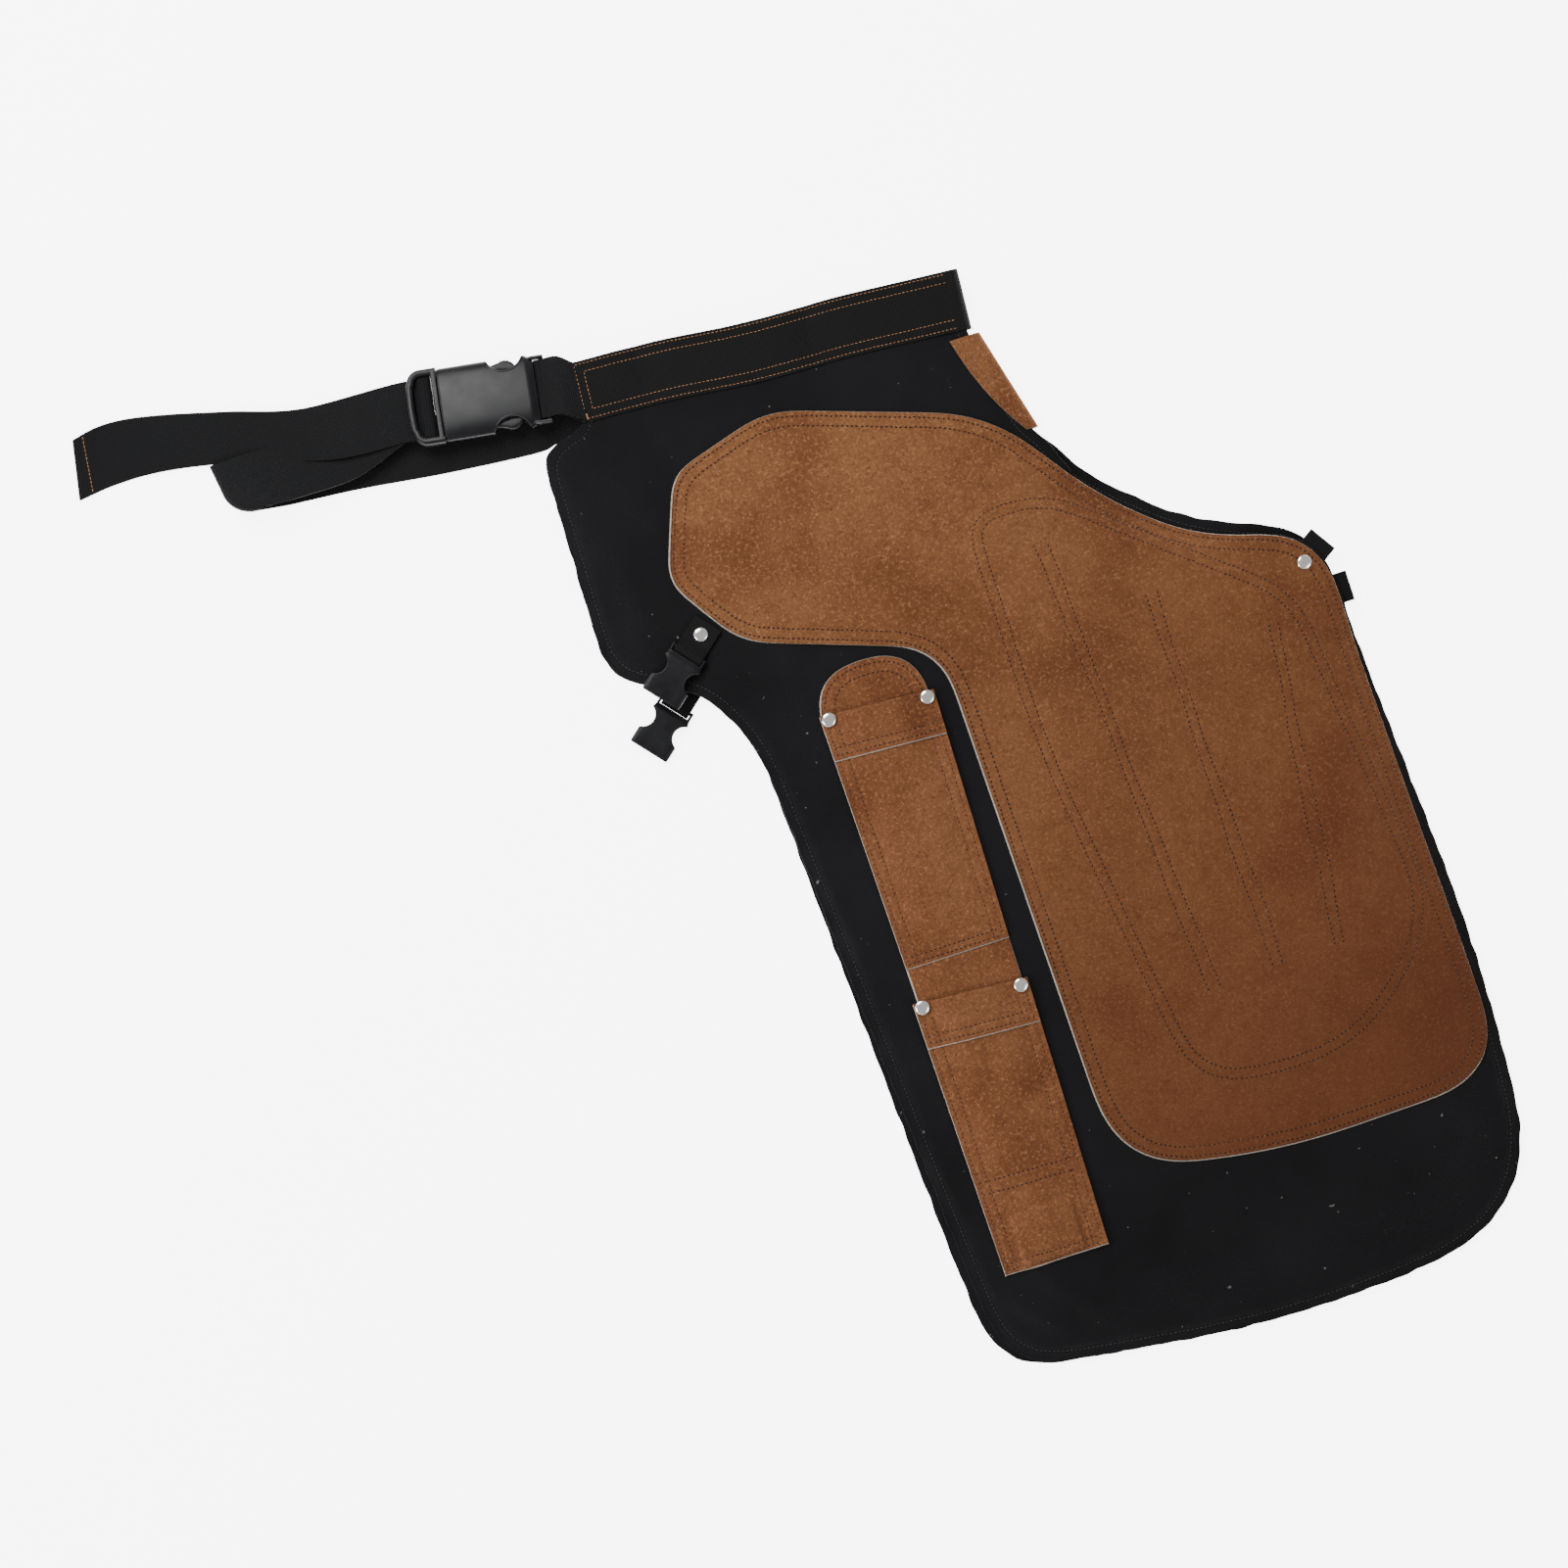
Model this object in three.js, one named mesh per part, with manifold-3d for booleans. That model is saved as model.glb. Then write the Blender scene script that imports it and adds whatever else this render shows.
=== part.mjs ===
// Split-leg welding apron, folded in half on its centre line and laid flat.
// Millimetres, +Z up, legs along -Y. The drawing starts at the top of the centre fold, and
// the finished group is moved so that its origin is the bottom centre of its box.
import * as THREE from 'three';
import { mergeVertices } from 'three/addons/utils/BufferGeometryUtils.js';
import Module from 'manifold-3d';

const wasm = await Module();
wasm.setup();

// ---------------------------------------------------------------- driving dimensions

const clearance = 0.3;
const canvas = 1.2;
const suede = 1.6;
const webbing = 1.3;
const legGap = 8;

const waistHalf = 327;
const bandWidth = 50;
const bandRise = 4.2;
const hipReach = 374;
const hipTop = -38;
const hipLow = -234;
const kneeX = -276;
const kneeY = -320;
const hemLeft = -247;
const hemDrop = -906;
const innerReach = 222;
const crotchDrop = -145;
const crotchRun = 24;
const underPeek = 14;

const pocketWidth = 96;
const pocketMiddle = -173;
const pocketSeam = 14;
const pocketRise = 5;
const pocketCuff = 38;
const upperPocket = { mouth: -318, length: 215, sealed: 8 };
const lowerPocket = { mouth: -565, length: 231, sealed: 82 };
const backingTop = -280;
const backingWidth = 88;
const mouthSlant = 7;

const magnet = { width: 50, length: 40, thickness: 2.4, up: 30 };
const rivet = { cap: 6, height: 2, shank: 1.6, hole: 1.9, washer: 4, washerThickness: 0.7 };

// A side-release buckle: the body runs from its strap end (0) to its mouth (length).
const waistBuckle = {
  webbingWidth: 50, length: 78, width: 62, height: 14, wall: 2.2, bevel: 2,
  windowAt: 21, windowRadius: 15, windowBite: 9, bar: 2, barReach: 8, rail: 3,
  baseLength: 22, baseHeight: 13, tongue: 9, arm: 6,
};
const legBuckle = {
  webbingWidth: 25, length: 38, width: 35, height: 9, wall: 1.5, bevel: 1,
  windowAt: 13, windowRadius: 9, windowBite: 6, bar: 1.5, barReach: 6, rail: 2.4,
  baseLength: 17, baseHeight: legGap - 0.8, tongue: 5, arm: 3.4,
};
const waistBuckleAt = { x: -waistHalf - 32, y: 12, turn: 171.2 };
const legSocketTurn = 220;
const topTabRivet = [-292, -220];
const underTabRivet = [-286, -233];
const topTabLength = 18;
const underTabLength = 56;
const tabBeyondRivet = 10;

const strapRivet = [195, -316];
const topStrap = { turn: 33, out: 24, inward: 22, length: 250 };
const underStrap = { turn: 0, out: 30, inward: 22, length: 270 };
const underStrapRivet = [195, -345];

// ---------------------------------------------------------------- levels in the stack

// Heights of each layer's near face, counted outwards from the plane between the legs.
const canvasLevel = legGap / 2;
const firstLevel = canvasLevel + canvas + clearance;
const secondLevel = firstLevel + suede + clearance;
const bumpHeight = magnet.thickness + clearance;
const midZ = secondLevel + bumpHeight + suede;

const finish = {
  canvas: { color: 0x1b1a1c, roughness: 0.92, metalness: 0 },
  suede: { color: 0x9a6439, roughness: 0.95, metalness: 0 },
  webbing: { color: 0x161617, roughness: 0.7, metalness: 0 },
  plastic: { color: 0x2a2a2e, roughness: 0.35, metalness: 0 },
  nickel: { color: 0xc9c6c0, roughness: 0.25, metalness: 1 },
  magnet: { color: 0x8f9094, roughness: 0.4, metalness: 1 },
};

const apron = new THREE.Group();

function add(name, geometry, look) {
  const mesh = new THREE.Mesh(geometry, new THREE.MeshStandardMaterial(finish[look]));
  mesh.name = name;
  apron.add(mesh);
  return mesh;
}

// ---------------------------------------------------------------- solid helpers

function toSolid(geometry) {
  const bare = geometry.clone();
  bare.deleteAttribute('normal');
  bare.deleteAttribute('uv');
  const merged = mergeVertices(bare, 1e-4);
  return new wasm.Manifold(new wasm.Mesh({
    numProp: 3,
    vertProperties: Float32Array.from(merged.attributes.position.array),
    triVerts: Uint32Array.from(merged.index.array),
  }));
}

function toGeometry(solid) {
  const mesh = solid.getMesh();
  const geometry = new THREE.BufferGeometry();
  geometry.setAttribute('position', new THREE.BufferAttribute(mesh.vertProperties, 3));
  geometry.setIndex(new THREE.BufferAttribute(mesh.triVerts, 1));
  return geometry;
}

const cut = (body, tools) => toGeometry(tools.reduce((s, t) => s.subtract(toSolid(t)), toSolid(body)));

const join = (pieces) => toGeometry(pieces.slice(1).reduce((s, p) => s.add(toSolid(p)), toSolid(pieces[0])));

// A box given by its low and high corners.
function block(low, high) {
  const size = high.map((h, i) => h - low[i]);
  const middle = high.map((h, i) => (h + low[i]) / 2);
  return new THREE.BoxGeometry(...size).translate(...middle);
}

// An upright round tool, used for holes and for the buckle windows.
function post(x, y, low, high, radius, sides = 12) {
  const shape = new THREE.CylinderGeometry(radius, radius, high - low, sides).rotateX(Math.PI / 2);
  return shape.translate(x, y, (low + high) / 2);
}

// The same solid on the other leg: turned over in the plane between the legs.
function turnOver(geometry) {
  const merged = mergeVertices(geometry.deleteAttribute('normal').deleteAttribute('uv'), 1e-4);
  merged.scale(1, 1, -1).translate(0, 0, 2 * midZ);
  const order = merged.index.array;
  for (let i = 0; i < order.length; i += 3) [order[i], order[i + 1]] = [order[i + 1], order[i]];
  return merged;
}

// A closed outline of corners [x, y, radius], each rounded by a curve that starts and ends a
// radius away from it, or just short of half its shorter side.
function outline(corners) {
  const shape = new THREE.Shape();
  const count = corners.length;
  const at = (i) => new THREE.Vector2(corners[(i + count) % count][0], corners[(i + count) % count][1]);
  for (let i = 0; i < count; i++) {
    const corner = at(i);
    const shorter = Math.min(corner.distanceTo(at(i - 1)), corner.distanceTo(at(i + 1)));
    const radius = Math.min(corners[i][2], 0.48 * shorter);
    const arrive = corner.clone().add(at(i - 1).sub(corner).setLength(radius));
    const leave = corner.clone().add(at(i + 1).sub(corner).setLength(radius));
    if (i === 0) shape.moveTo(arrive.x, arrive.y);
    else shape.lineTo(arrive.x, arrive.y);
    if (radius > 0) shape.quadraticCurveTo(corner.x, corner.y, leave.x, leave.y);
  }
  return shape;
}

// A flat layer on one leg (side 1 is the top leg, -1 the under leg), with rivet holes.
function layer(corners, level, thickness, side, holes) {
  const low = side > 0 ? midZ + level : midZ - level - thickness;
  const flat = new THREE.ExtrudeGeometry(outline(corners), {
    depth: thickness, bevelEnabled: false, curveSegments: 7,
  }).translate(0, 0, low);
  return cut(flat, holes.map(([x, y]) => post(x, y, low - 1, low + thickness + 1, rivet.hole)));
}

// A closed slab over a grid: corner(i, j, k) is a Vector3 on face k, 0 under and 1 over.
function slab(rows, columns, corner) {
  const places = [];
  const order = [];
  const index = (i, j, k) => (k * (rows + 1) + i) * (columns + 1) + j;
  const quad = (a, b, c, d) => order.push(a, b, c, a, c, d);
  for (let k = 0; k < 2; k++) {
    for (let i = 0; i <= rows; i++) {
      for (let j = 0; j <= columns; j++) places.push(...corner(i, j, k).toArray());
    }
  }
  for (let i = 0; i < rows; i++) {
    for (let j = 0; j < columns; j++) {
      quad(index(i, j, 1), index(i + 1, j, 1), index(i + 1, j + 1, 1), index(i, j + 1, 1));
      quad(index(i, j, 0), index(i, j + 1, 0), index(i + 1, j + 1, 0), index(i + 1, j, 0));
    }
    quad(index(i, 0, 0), index(i + 1, 0, 0), index(i + 1, 0, 1), index(i, 0, 1));
    quad(index(i, columns, 1), index(i + 1, columns, 1), index(i + 1, columns, 0), index(i, columns, 0));
  }
  for (let j = 0; j < columns; j++) {
    quad(index(0, j, 1), index(0, j + 1, 1), index(0, j + 1, 0), index(0, j, 0));
    quad(index(rows, j, 0), index(rows, j + 1, 0), index(rows, j + 1, 1), index(rows, j, 1));
  }
  let volume = 0;
  const vertex = (n) => new THREE.Vector3().fromArray(places, 3 * n);
  for (let n = 0; n < order.length; n += 3) {
    const [a, b, c] = [vertex(order[n]), vertex(order[n + 1]), vertex(order[n + 2])];
    volume += a.dot(b.cross(c));
  }
  if (volume < 0) {
    for (let n = 0; n < order.length; n += 3) [order[n], order[n + 1]] = [order[n + 1], order[n]];
  }
  const geometry = new THREE.BufferGeometry();
  geometry.setAttribute('position', new THREE.Float32BufferAttribute(places, 3));
  geometry.setIndex(order);
  return geometry;
}

// A flat strap: places along its middle, and at each the direction of its width.
function strap(places, widths, width, thickness) {
  const last = places.length - 1;
  return slab(last, 1, (i, j, k) => {
    const along = places[Math.min(i + 1, last)].clone().sub(places[Math.max(i - 1, 0)]).normalize();
    const across = widths[i].clone().normalize();
    const outward = new THREE.Vector3().crossVectors(along, across).normalize();
    return places[i].clone()
      .addScaledVector(across, (j - 0.5) * width)
      .addScaledVector(outward, (k - 0.5) * thickness);
  });
}

const turned = (degrees) => {
  const angle = THREE.MathUtils.degToRad(degrees);
  return new THREE.Vector3(Math.cos(angle), Math.sin(angle), 0);
};

// A strap that stays over one straight line in plan: the path's x runs along that line and
// its y is the height, so a fold is an arc in the path.
function foldedStrap(path, divisions, origin, turn, width, thickness) {
  const along = turned(turn);
  const across = turned(turn + 90);
  const places = path.getPoints(divisions).map((p) => origin.clone()
    .addScaledVector(along, p.x).setZ(p.y));
  return strap(places, places.map(() => across), width, thickness);
}

// ---------------------------------------------------------------- waistband and centre patch

// Half the thickness of everything that the waistband and the centre patch fold around.
const foldRadius = (thickness) => canvasLevel + canvas + clearance + thickness / 2;

// The webbing waistband goes over the top leg's waist edge, round the fold, and back under.
function waistband() {
  const radius = foldRadius(webbing);
  const path = new THREE.Path();
  path.moveTo(waistHalf, midZ + radius);
  path.lineTo(radius + webbing / 2, midZ + radius);
  path.absarc(radius + webbing / 2, midZ, radius, Math.PI / 2, 3 * Math.PI / 2, false);
  path.lineTo(waistHalf, midZ - radius);
  const origin = turned(90 - bandRise).multiplyScalar(-bandWidth / 2);
  return foldedStrap(path, 10, origin, 180 - bandRise, bandWidth, webbing);
}

// Reach of the fold line at a height below the waist.
const foldX = (y) => {
  const down = THREE.MathUtils.clamp((y + bandWidth) / (crotchDrop + bandWidth), 0, 1);
  return crotchRun * down;
};

// The suede crotch patch wraps the fold below the waistband, and narrows towards the crotch.
function centrePatch() {
  const radius = foldRadius(suede);
  const bend = 8;
  const rows = 10;
  const start = -bandWidth - 5;
  const widest = 26;
  const narrowest = radius + suede / 2 + 3;
  return slab(rows, bend + 2, (i, j, k) => {
    const down = i / rows;
    const y = THREE.MathUtils.lerp(start, crotchDrop + 2, down);
    const centre = foldX(y) - radius - suede / 2;
    const reach = THREE.MathUtils.lerp(widest, narrowest, down ** 2.5);
    const r = radius + (k - 0.5) * suede;
    if (j === 0) return new THREE.Vector3(foldX(y) - reach, y, midZ + r);
    if (j === bend + 2) return new THREE.Vector3(foldX(y) - reach, y, midZ - r);
    const angle = Math.PI / 2 - Math.PI * (j - 1) / bend;
    return new THREE.Vector3(centre + r * Math.cos(angle), y, midZ + r * Math.sin(angle));
  });
}

// ---------------------------------------------------------------- canvas and suede layers

// The canvas body of one leg. peek lets the under leg show past the top one.
function panelCorners(peek) {
  const inset = foldRadius(suede) + 3;
  const waistTop = (x) => -x * Math.tan(THREE.MathUtils.degToRad(bandRise)) - 5;
  return [
    [-inset, waistTop(-inset), 0],
    [-waistHalf + 3, waistTop(-waistHalf + 3), 0],
    [-waistHalf + 1, waistTop(-waistHalf) - bandWidth + 3, 4],
    [-hipReach + 3, hipTop, 8],
    [-hipReach - 2, hipLow, 30],
    [kneeX - 30, hipLow - 28, 30],
    [kneeX, kneeY, 45],
    [hemLeft - peek / 2, -770, 60],
    [hemLeft + 9 - peek / 2, hemDrop + 34, 85],
    [0, hemDrop, 110],
    [innerReach, hemDrop + 20, 140],
    [innerReach + 12, -650, 80],
    [innerReach - 9, -297 + peek / 3, 38],
    [112 + peek / 3, -266 + peek, 30],
    [44 + peek / 3, -206 + peek, 40],
    [crotchRun - 1, crotchDrop - 1, 6],
    [crotchRun - inset, crotchDrop - 1, 2],
    [-inset, -bandWidth - 4, 10],
  ];
}

// The suede wear patch: a lobe over the hip and a broad panel down the inner thigh.
const patchCorners = [
  [-185, -62, 25],
  [-14, -120, 45],
  [52, -211, 42],
  [118, -268, 38],
  [213, -297, 45],
  [226, -764, 64],
  [30, -768, 60],
  [-102, -742, 70],
  [-110, -290, 38],
  [-263, -236, 22],
  [-305, -172, 16],
  [-274, -88, 16],
];

// The second layer that is quilted under the wear patch.
const liningCorners = [
  [-62, -192, 28],
  [12, -192, 30],
  [184, -334, 34],
  [214, -622, 50],
  [120, -712, 70],
  [-24, -704, 55],
  [-62, -400, 60],
];

function pocketRivets(pocket) {
  const side = pocketWidth / 2 - 7;
  return [
    [pocketMiddle - side, pocket.mouth - 4 + mouthSlant / 2],
    [pocketMiddle + side, pocket.mouth - 4 - mouthSlant / 2],
  ];
}

const allPocketRivets = [...pocketRivets(upperPocket), ...pocketRivets(lowerPocket)];

const backingCorners = [
  [pocketMiddle - backingWidth / 2 - 4, backingTop, 44],
  [pocketMiddle + backingWidth / 2, backingTop, 44],
  [pocketMiddle + backingWidth / 2, lowerPocket.mouth - lowerPocket.length + 1, 0],
  [pocketMiddle - backingWidth / 2 + 4, lowerPocket.mouth - lowerPocket.length + 1, 0],
];

// A pocket front: sewn flat down both sides and below, and raised by rise between its seams.
// Its folded cuff doubles it at the mouth. The magnet lies in the sewn end of the lower one.
function pocketFront(pocket, rise, holdsMagnet) {
  const base = midZ + secondLevel;
  const half = pocketWidth / 2;
  const across = [0, pocketSeam, pocketSeam + 7, half, 2 * half - pocketSeam - 7,
    2 * half - pocketSeam, 2 * half];
  if (holdsMagnet) {
    across.splice(3, 0, half - magnet.width / 2 - 2, half - magnet.width / 2);
    across.splice(6, 0, half + magnet.width / 2, half + magnet.width / 2 + 2);
  }
  const open = pocket.length - pocket.sealed;
  const down = [0, pocketCuff - 1, pocketCuff, open - 26, open - 8, open];
  const magnetEnd = pocket.length - magnet.up + magnet.length / 2 + 5;
  if (holdsMagnet) {
    const magnetStart = magnetEnd - magnet.length;
    down.push(magnetStart - 2, magnetStart, magnetEnd, magnetEnd + 2);
  }
  down.push(pocket.length);
  const solid = slab(down.length - 1, across.length - 1, (i, j, k) => {
    const s = across[j];
    const d = down[i];
    const taper = 1 - 0.08 * d / pocket.length;
    const x = pocketMiddle + (s - half) * taper;
    const slant = mouthSlant * (0.5 - s / (2 * half)) * (1 - d / pocket.length);
    const inside = Math.min(s, 2 * half - s) - pocketSeam;
    const arch = THREE.MathUtils.clamp(inside / 7, 0, 1);
    const shut = THREE.MathUtils.clamp((open - d) / 26, 0, 1);
    let lift = rise * arch * Math.sqrt(shut);
    const overMagnet = holdsMagnet && d > open && d >= magnetEnd - magnet.length
      && d <= magnetEnd && Math.abs(s - half) <= magnet.width / 2;
    if (overMagnet) lift = bumpHeight;
    return new THREE.Vector3(x, pocket.mouth + slant - d, base + lift + k * suede);
  });
  const holes = pocketRivets(pocket).map(([x, y]) => post(x, y, base - 1, base + suede + 1, rivet.hole));
  return cut(solid, holes);
}

function magnetBar() {
  const bottom = lowerPocket.mouth - lowerPocket.length;
  const middle = bottom + magnet.up - 5;
  const low = midZ + secondLevel;
  return block(
    [pocketMiddle - magnet.width / 2 + 3, middle - magnet.length / 2 + 1, low],
    [pocketMiddle + magnet.width / 2 - 3, middle + magnet.length / 2 - 1, low + magnet.thickness],
  );
}

// A domed rivet: washer on the inside, shank through the layers, cap on the outside.
function domedRivet([x, y], from, to, washer) {
  const inner = washer
    ? [[0, from - washer], [rivet.washer, from - washer], [rivet.washer, from], [rivet.shank, from]]
    : [[0, from], [rivet.shank, from]];
  const profile = [
    ...inner,
    [rivet.shank, to],
    [rivet.cap, to],
    [rivet.cap, to + 0.35 * rivet.height],
    [0.8 * rivet.cap, to + 0.75 * rivet.height],
    [0.45 * rivet.cap, to + 0.95 * rivet.height],
    [0, to + rivet.height],
  ].map(([r, z]) => new THREE.Vector2(r, z));
  return new THREE.LatheGeometry(profile, 18).rotateX(Math.PI / 2).translate(x, y, 0);
}

// ---------------------------------------------------------------- buckles

// A buckle's own frame: x from the strap end to the mouth, y across, z up from its middle.
function placed(geometry, at, z) {
  return geometry.rotateZ(THREE.MathUtils.degToRad(at.turn)).translate(at.x, at.y, z);
}

// The female half: a hollow body with a window in each side, and a bar for the webbing.
function socket(b) {
  const half = b.width / 2;
  const barAt = -b.barReach;
  const railOut = b.webbingWidth / 2 + 0.8 + b.rail;
  const corner = 0.14 * b.width;
  const plan = outline([
    [b.bevel, -half + b.bevel, corner / 2], [b.length, -half + b.bevel, corner / 3],
    [b.length, half - b.bevel, corner / 3], [b.bevel, half - b.bevel, corner / 2],
  ]);
  const body = new THREE.ExtrudeGeometry(plan, {
    depth: b.height - 2 * b.bevel, bevelThickness: b.bevel, bevelSize: b.bevel,
    bevelSegments: 2, curveSegments: 3,
  }).translate(0, 0, -b.height / 2 + b.bevel);
  const mouth = b.length + b.bevel + 1;
  const rails = [-1, 1].map((side) => block(
    [barAt - b.bar, Math.min(side * railOut, side * (railOut - b.rail)), -b.height * 0.28],
    [b.bevel + 1, Math.max(side * railOut, side * (railOut - b.rail)), b.height * 0.28],
  ));
  const bar = new THREE.CylinderGeometry(b.bar, b.bar, 2 * railOut - 0.5, 10).translate(barAt, 0, 0);
  const tools = [block(
    [b.wall + 1, -half + b.wall, -b.height / 2 + b.wall],
    [mouth, half - b.wall, b.height / 2 - b.wall],
  )];
  for (const side of [-1, 1]) {
    const off = half + b.windowRadius - b.windowBite;
    tools.push(post(b.windowAt, side * off, -b.height, b.height, b.windowRadius, 28));
  }
  return cut(join([body, ...rails, bar]), tools);
}

// The male half's base: a ladder-lock for the webbing and a guide tongue for the socket.
function plugBase(b) {
  const start = b.length + b.bevel + clearance;
  const end = start + b.baseLength;
  const half = b.width / 2;
  const inner = b.webbingWidth / 2 + 0.8;
  const thin = b.height / 2 - b.wall - 0.4;
  const endBar = 0.2 * b.baseLength;
  const midBar = start + 0.5 * b.baseLength;
  const top = b.baseHeight / 2;
  const pieces = [
    block([start, -half, -thin], [start + 0.14 * b.baseLength, half, top]),
    block([start, -half, -thin], [end, -inner, top - 0.5]),
    block([start, inner, -thin], [end, half, top - 0.5]),
    block([end - endBar, -half, b.height * 0.1], [end, half, top - 0.5]),
    new THREE.CylinderGeometry(b.bar, b.bar, 2 * inner + 2, 12).translate(midBar, 0, 0),
    block([b.windowAt + 0.2 * b.length, -b.tongue / 2, -thin], [start + 1, b.tongue / 2, thin]),
  ];
  return join(pieces);
}

const armRoot = (b) => [b.length + b.bevel, b.width / 2 - b.wall - 1 - b.arm];

// A latch arm: a sprung finger from the base, with a press pad that fills the side window.
function latchArm(b, side) {
  const [root, low] = armRoot(b);
  const edge = b.width / 2;
  const thin = b.height / 2 - b.wall - 0.6;
  const tip = b.windowAt - 0.7 * b.windowBite;
  const pad = b.windowAt + 0.75 * b.windowBite;
  const plan = outline([
    [root, low, 0], [root, low + 0.6 * b.arm, 0], [pad + 6, low + 0.7 * b.arm, 2],
    [pad, edge - b.windowBite * 0.45, 2], [b.windowAt, edge - b.windowBite * 0.35, 3],
    [tip, edge - b.windowBite * 0.75, 1.5], [tip, low - 0.1 * b.arm, 1], [pad, low - 0.2 * b.arm, 3],
  ]);
  const solid = new THREE.ExtrudeGeometry(plan, {
    depth: 2 * thin, bevelEnabled: false, curveSegments: 4,
  }).translate(0, 0, -thin);
  return side > 0 ? solid : solid.rotateX(Math.PI);
}

// ---------------------------------------------------------------- the two legs

const sides = [{ name: 'top', side: 1 }, { name: 'under', side: -1 }];

for (const { name, side } of sides) {
  const under = side < 0;
  const over = (geometry) => (under ? turnOver(geometry) : geometry);
  const tabRivet = under ? underTabRivet : topTabRivet;
  const legStrapRivet = under ? underStrapRivet : strapRivet;
  const panelHoles = [...allPocketRivets, tabRivet, legStrapRivet];
  add(`${name}_leg_panel`, layer(panelCorners(under ? underPeek : 0), canvasLevel, canvas, side,
    panelHoles), 'canvas');
  add(`${name}_patch_lining`, layer(liningCorners, firstLevel, suede, side, []), 'suede');
  add(`${name}_wear_patch`, layer(patchCorners, secondLevel, suede, side, [legStrapRivet]), 'suede');
  add(`${name}_pocket_backing`, layer(backingCorners, firstLevel, suede, side, allPocketRivets), 'suede');
  const rise = under ? 0 : pocketRise;
  add(`${name}_upper_pocket`, over(pocketFront(upperPocket, rise, false)), 'suede');
  add(`${name}_lower_pocket`, over(pocketFront(lowerPocket, rise, true)), 'suede');
  add(`${name}_pocket_magnet`, over(magnetBar()), 'magnet');

  const washerUnder = midZ + canvasLevel - clearance;
  const capOver = midZ + secondLevel + suede + clearance;
  allPocketRivets.forEach((at, n) => {
    const solid = domedRivet(at, washerUnder, capOver, rivet.washerThickness);
    add(`${name}_pocket_rivet_${n + 1}`, over(solid), 'nickel');
  });
  const tabStack = canvas + 2 * webbing + 3 * clearance;
  add(`${name}_tab_rivet`, over(domedRivet(tabRivet, washerUnder, midZ + canvasLevel + tabStack,
    rivet.washerThickness)), 'nickel');
  add(`${name}_strap_rivet`, over(domedRivet(legStrapRivet, midZ + canvasLevel - webbing - clearance / 2,
    capOver, 0)), 'nickel');
}

// ---------------------------------------------------------------- leg buckle sockets and tabs

// The webbing tab of a leg socket: two plies riveted to the panel, looped round the bar.
function legTab(rivetAt, length, panelFace, barZ, sign) {
  const radius = legBuckle.bar + clearance + webbing / 2;
  const near = panelFace + sign * (clearance + webbing / 2);
  const far = near + sign * (webbing + clearance);
  const path = new THREE.Path();
  path.moveTo(-tabBeyondRivet, near);
  path.lineTo(length - 9, near);
  path.lineTo(length, barZ - sign * radius);
  path.absarc(length, barZ, radius, -sign * Math.PI / 2, sign * Math.PI / 2, sign < 0);
  path.lineTo(length - 9, far);
  path.lineTo(-tabBeyondRivet, far);
  const origin = new THREE.Vector3(rivetAt[0], rivetAt[1], 0);
  const solid = foldedStrap(path, 5, origin, legSocketTurn, legBuckle.webbingWidth, webbing);
  const low = Math.min(panelFace, far) - 2;
  return cut(solid, [post(rivetAt[0], rivetAt[1], low, low + 9, rivet.hole)]);
}

// A socket placed so that its bar is the given distance from the tab's rivet.
function legSocket(rivetAt, length, barZ) {
  const along = turned(legSocketTurn).multiplyScalar(length + legBuckle.barReach);
  return placed(socket(legBuckle), {
    x: rivetAt[0] + along.x, y: rivetAt[1] + along.y, turn: legSocketTurn,
  }, barZ);
}

const topFace = midZ + canvasLevel + canvas;
const underFace = midZ - canvasLevel - canvas;
const topSocketZ = topFace + clearance + legBuckle.height / 2;
const underSocketZ = legBuckle.height / 2;
add('top_leg_tab', legTab(topTabRivet, topTabLength, topFace, topSocketZ, 1), 'webbing');
add('under_leg_tab', legTab(underTabRivet, underTabLength, underFace, underSocketZ, -1), 'webbing');
add('top_leg_socket', legSocket(topTabRivet, topTabLength, topSocketZ), 'plastic');
add('under_leg_socket', legSocket(underTabRivet, underTabLength, underSocketZ), 'plastic');

// ---------------------------------------------------------------- leg straps and plugs

// A leg strap: riveted inside the inner corner, folded back at its edge, and run between the
// legs to its plug, where it goes under the end bar and round the middle bar.
function legStrap(at, rivetAt, panelFace, sign, plugZ) {
  const b = legBuckle;
  const near = panelFace + sign * (clearance + webbing / 2);
  const far = near + sign * (webbing + clearance);
  const radius = Math.abs(far - near) / 2;
  const barAt = at.out - at.length - b.baseLength * 0.5;
  const wrap = b.bar + clearance + webbing / 2;
  const path = new THREE.Path();
  path.moveTo(-at.inward, near);
  path.lineTo(at.out, near);
  path.absarc(at.out, (near + far) / 2, radius, -sign * Math.PI / 2, sign * Math.PI / 2, sign < 0);
  path.lineTo(-at.inward, far);
  path.lineTo(barAt + 0.5 * b.baseLength + 12, plugZ - wrap);
  path.lineTo(barAt, plugZ - wrap);
  path.absarc(barAt, plugZ, wrap, -Math.PI / 2, Math.PI / 2, true);
  path.lineTo(barAt + wrap * 0.6, plugZ + wrap);
  const origin = new THREE.Vector3(rivetAt[0], rivetAt[1], 0);
  const solid = foldedStrap(path, 6, origin, at.turn, b.webbingWidth, webbing);
  const throughPly = webbing / 2 + 0.1;
  return cut(solid, [post(rivetAt[0], rivetAt[1], near - throughPly, near + throughPly, rivet.hole)]);
}

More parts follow.
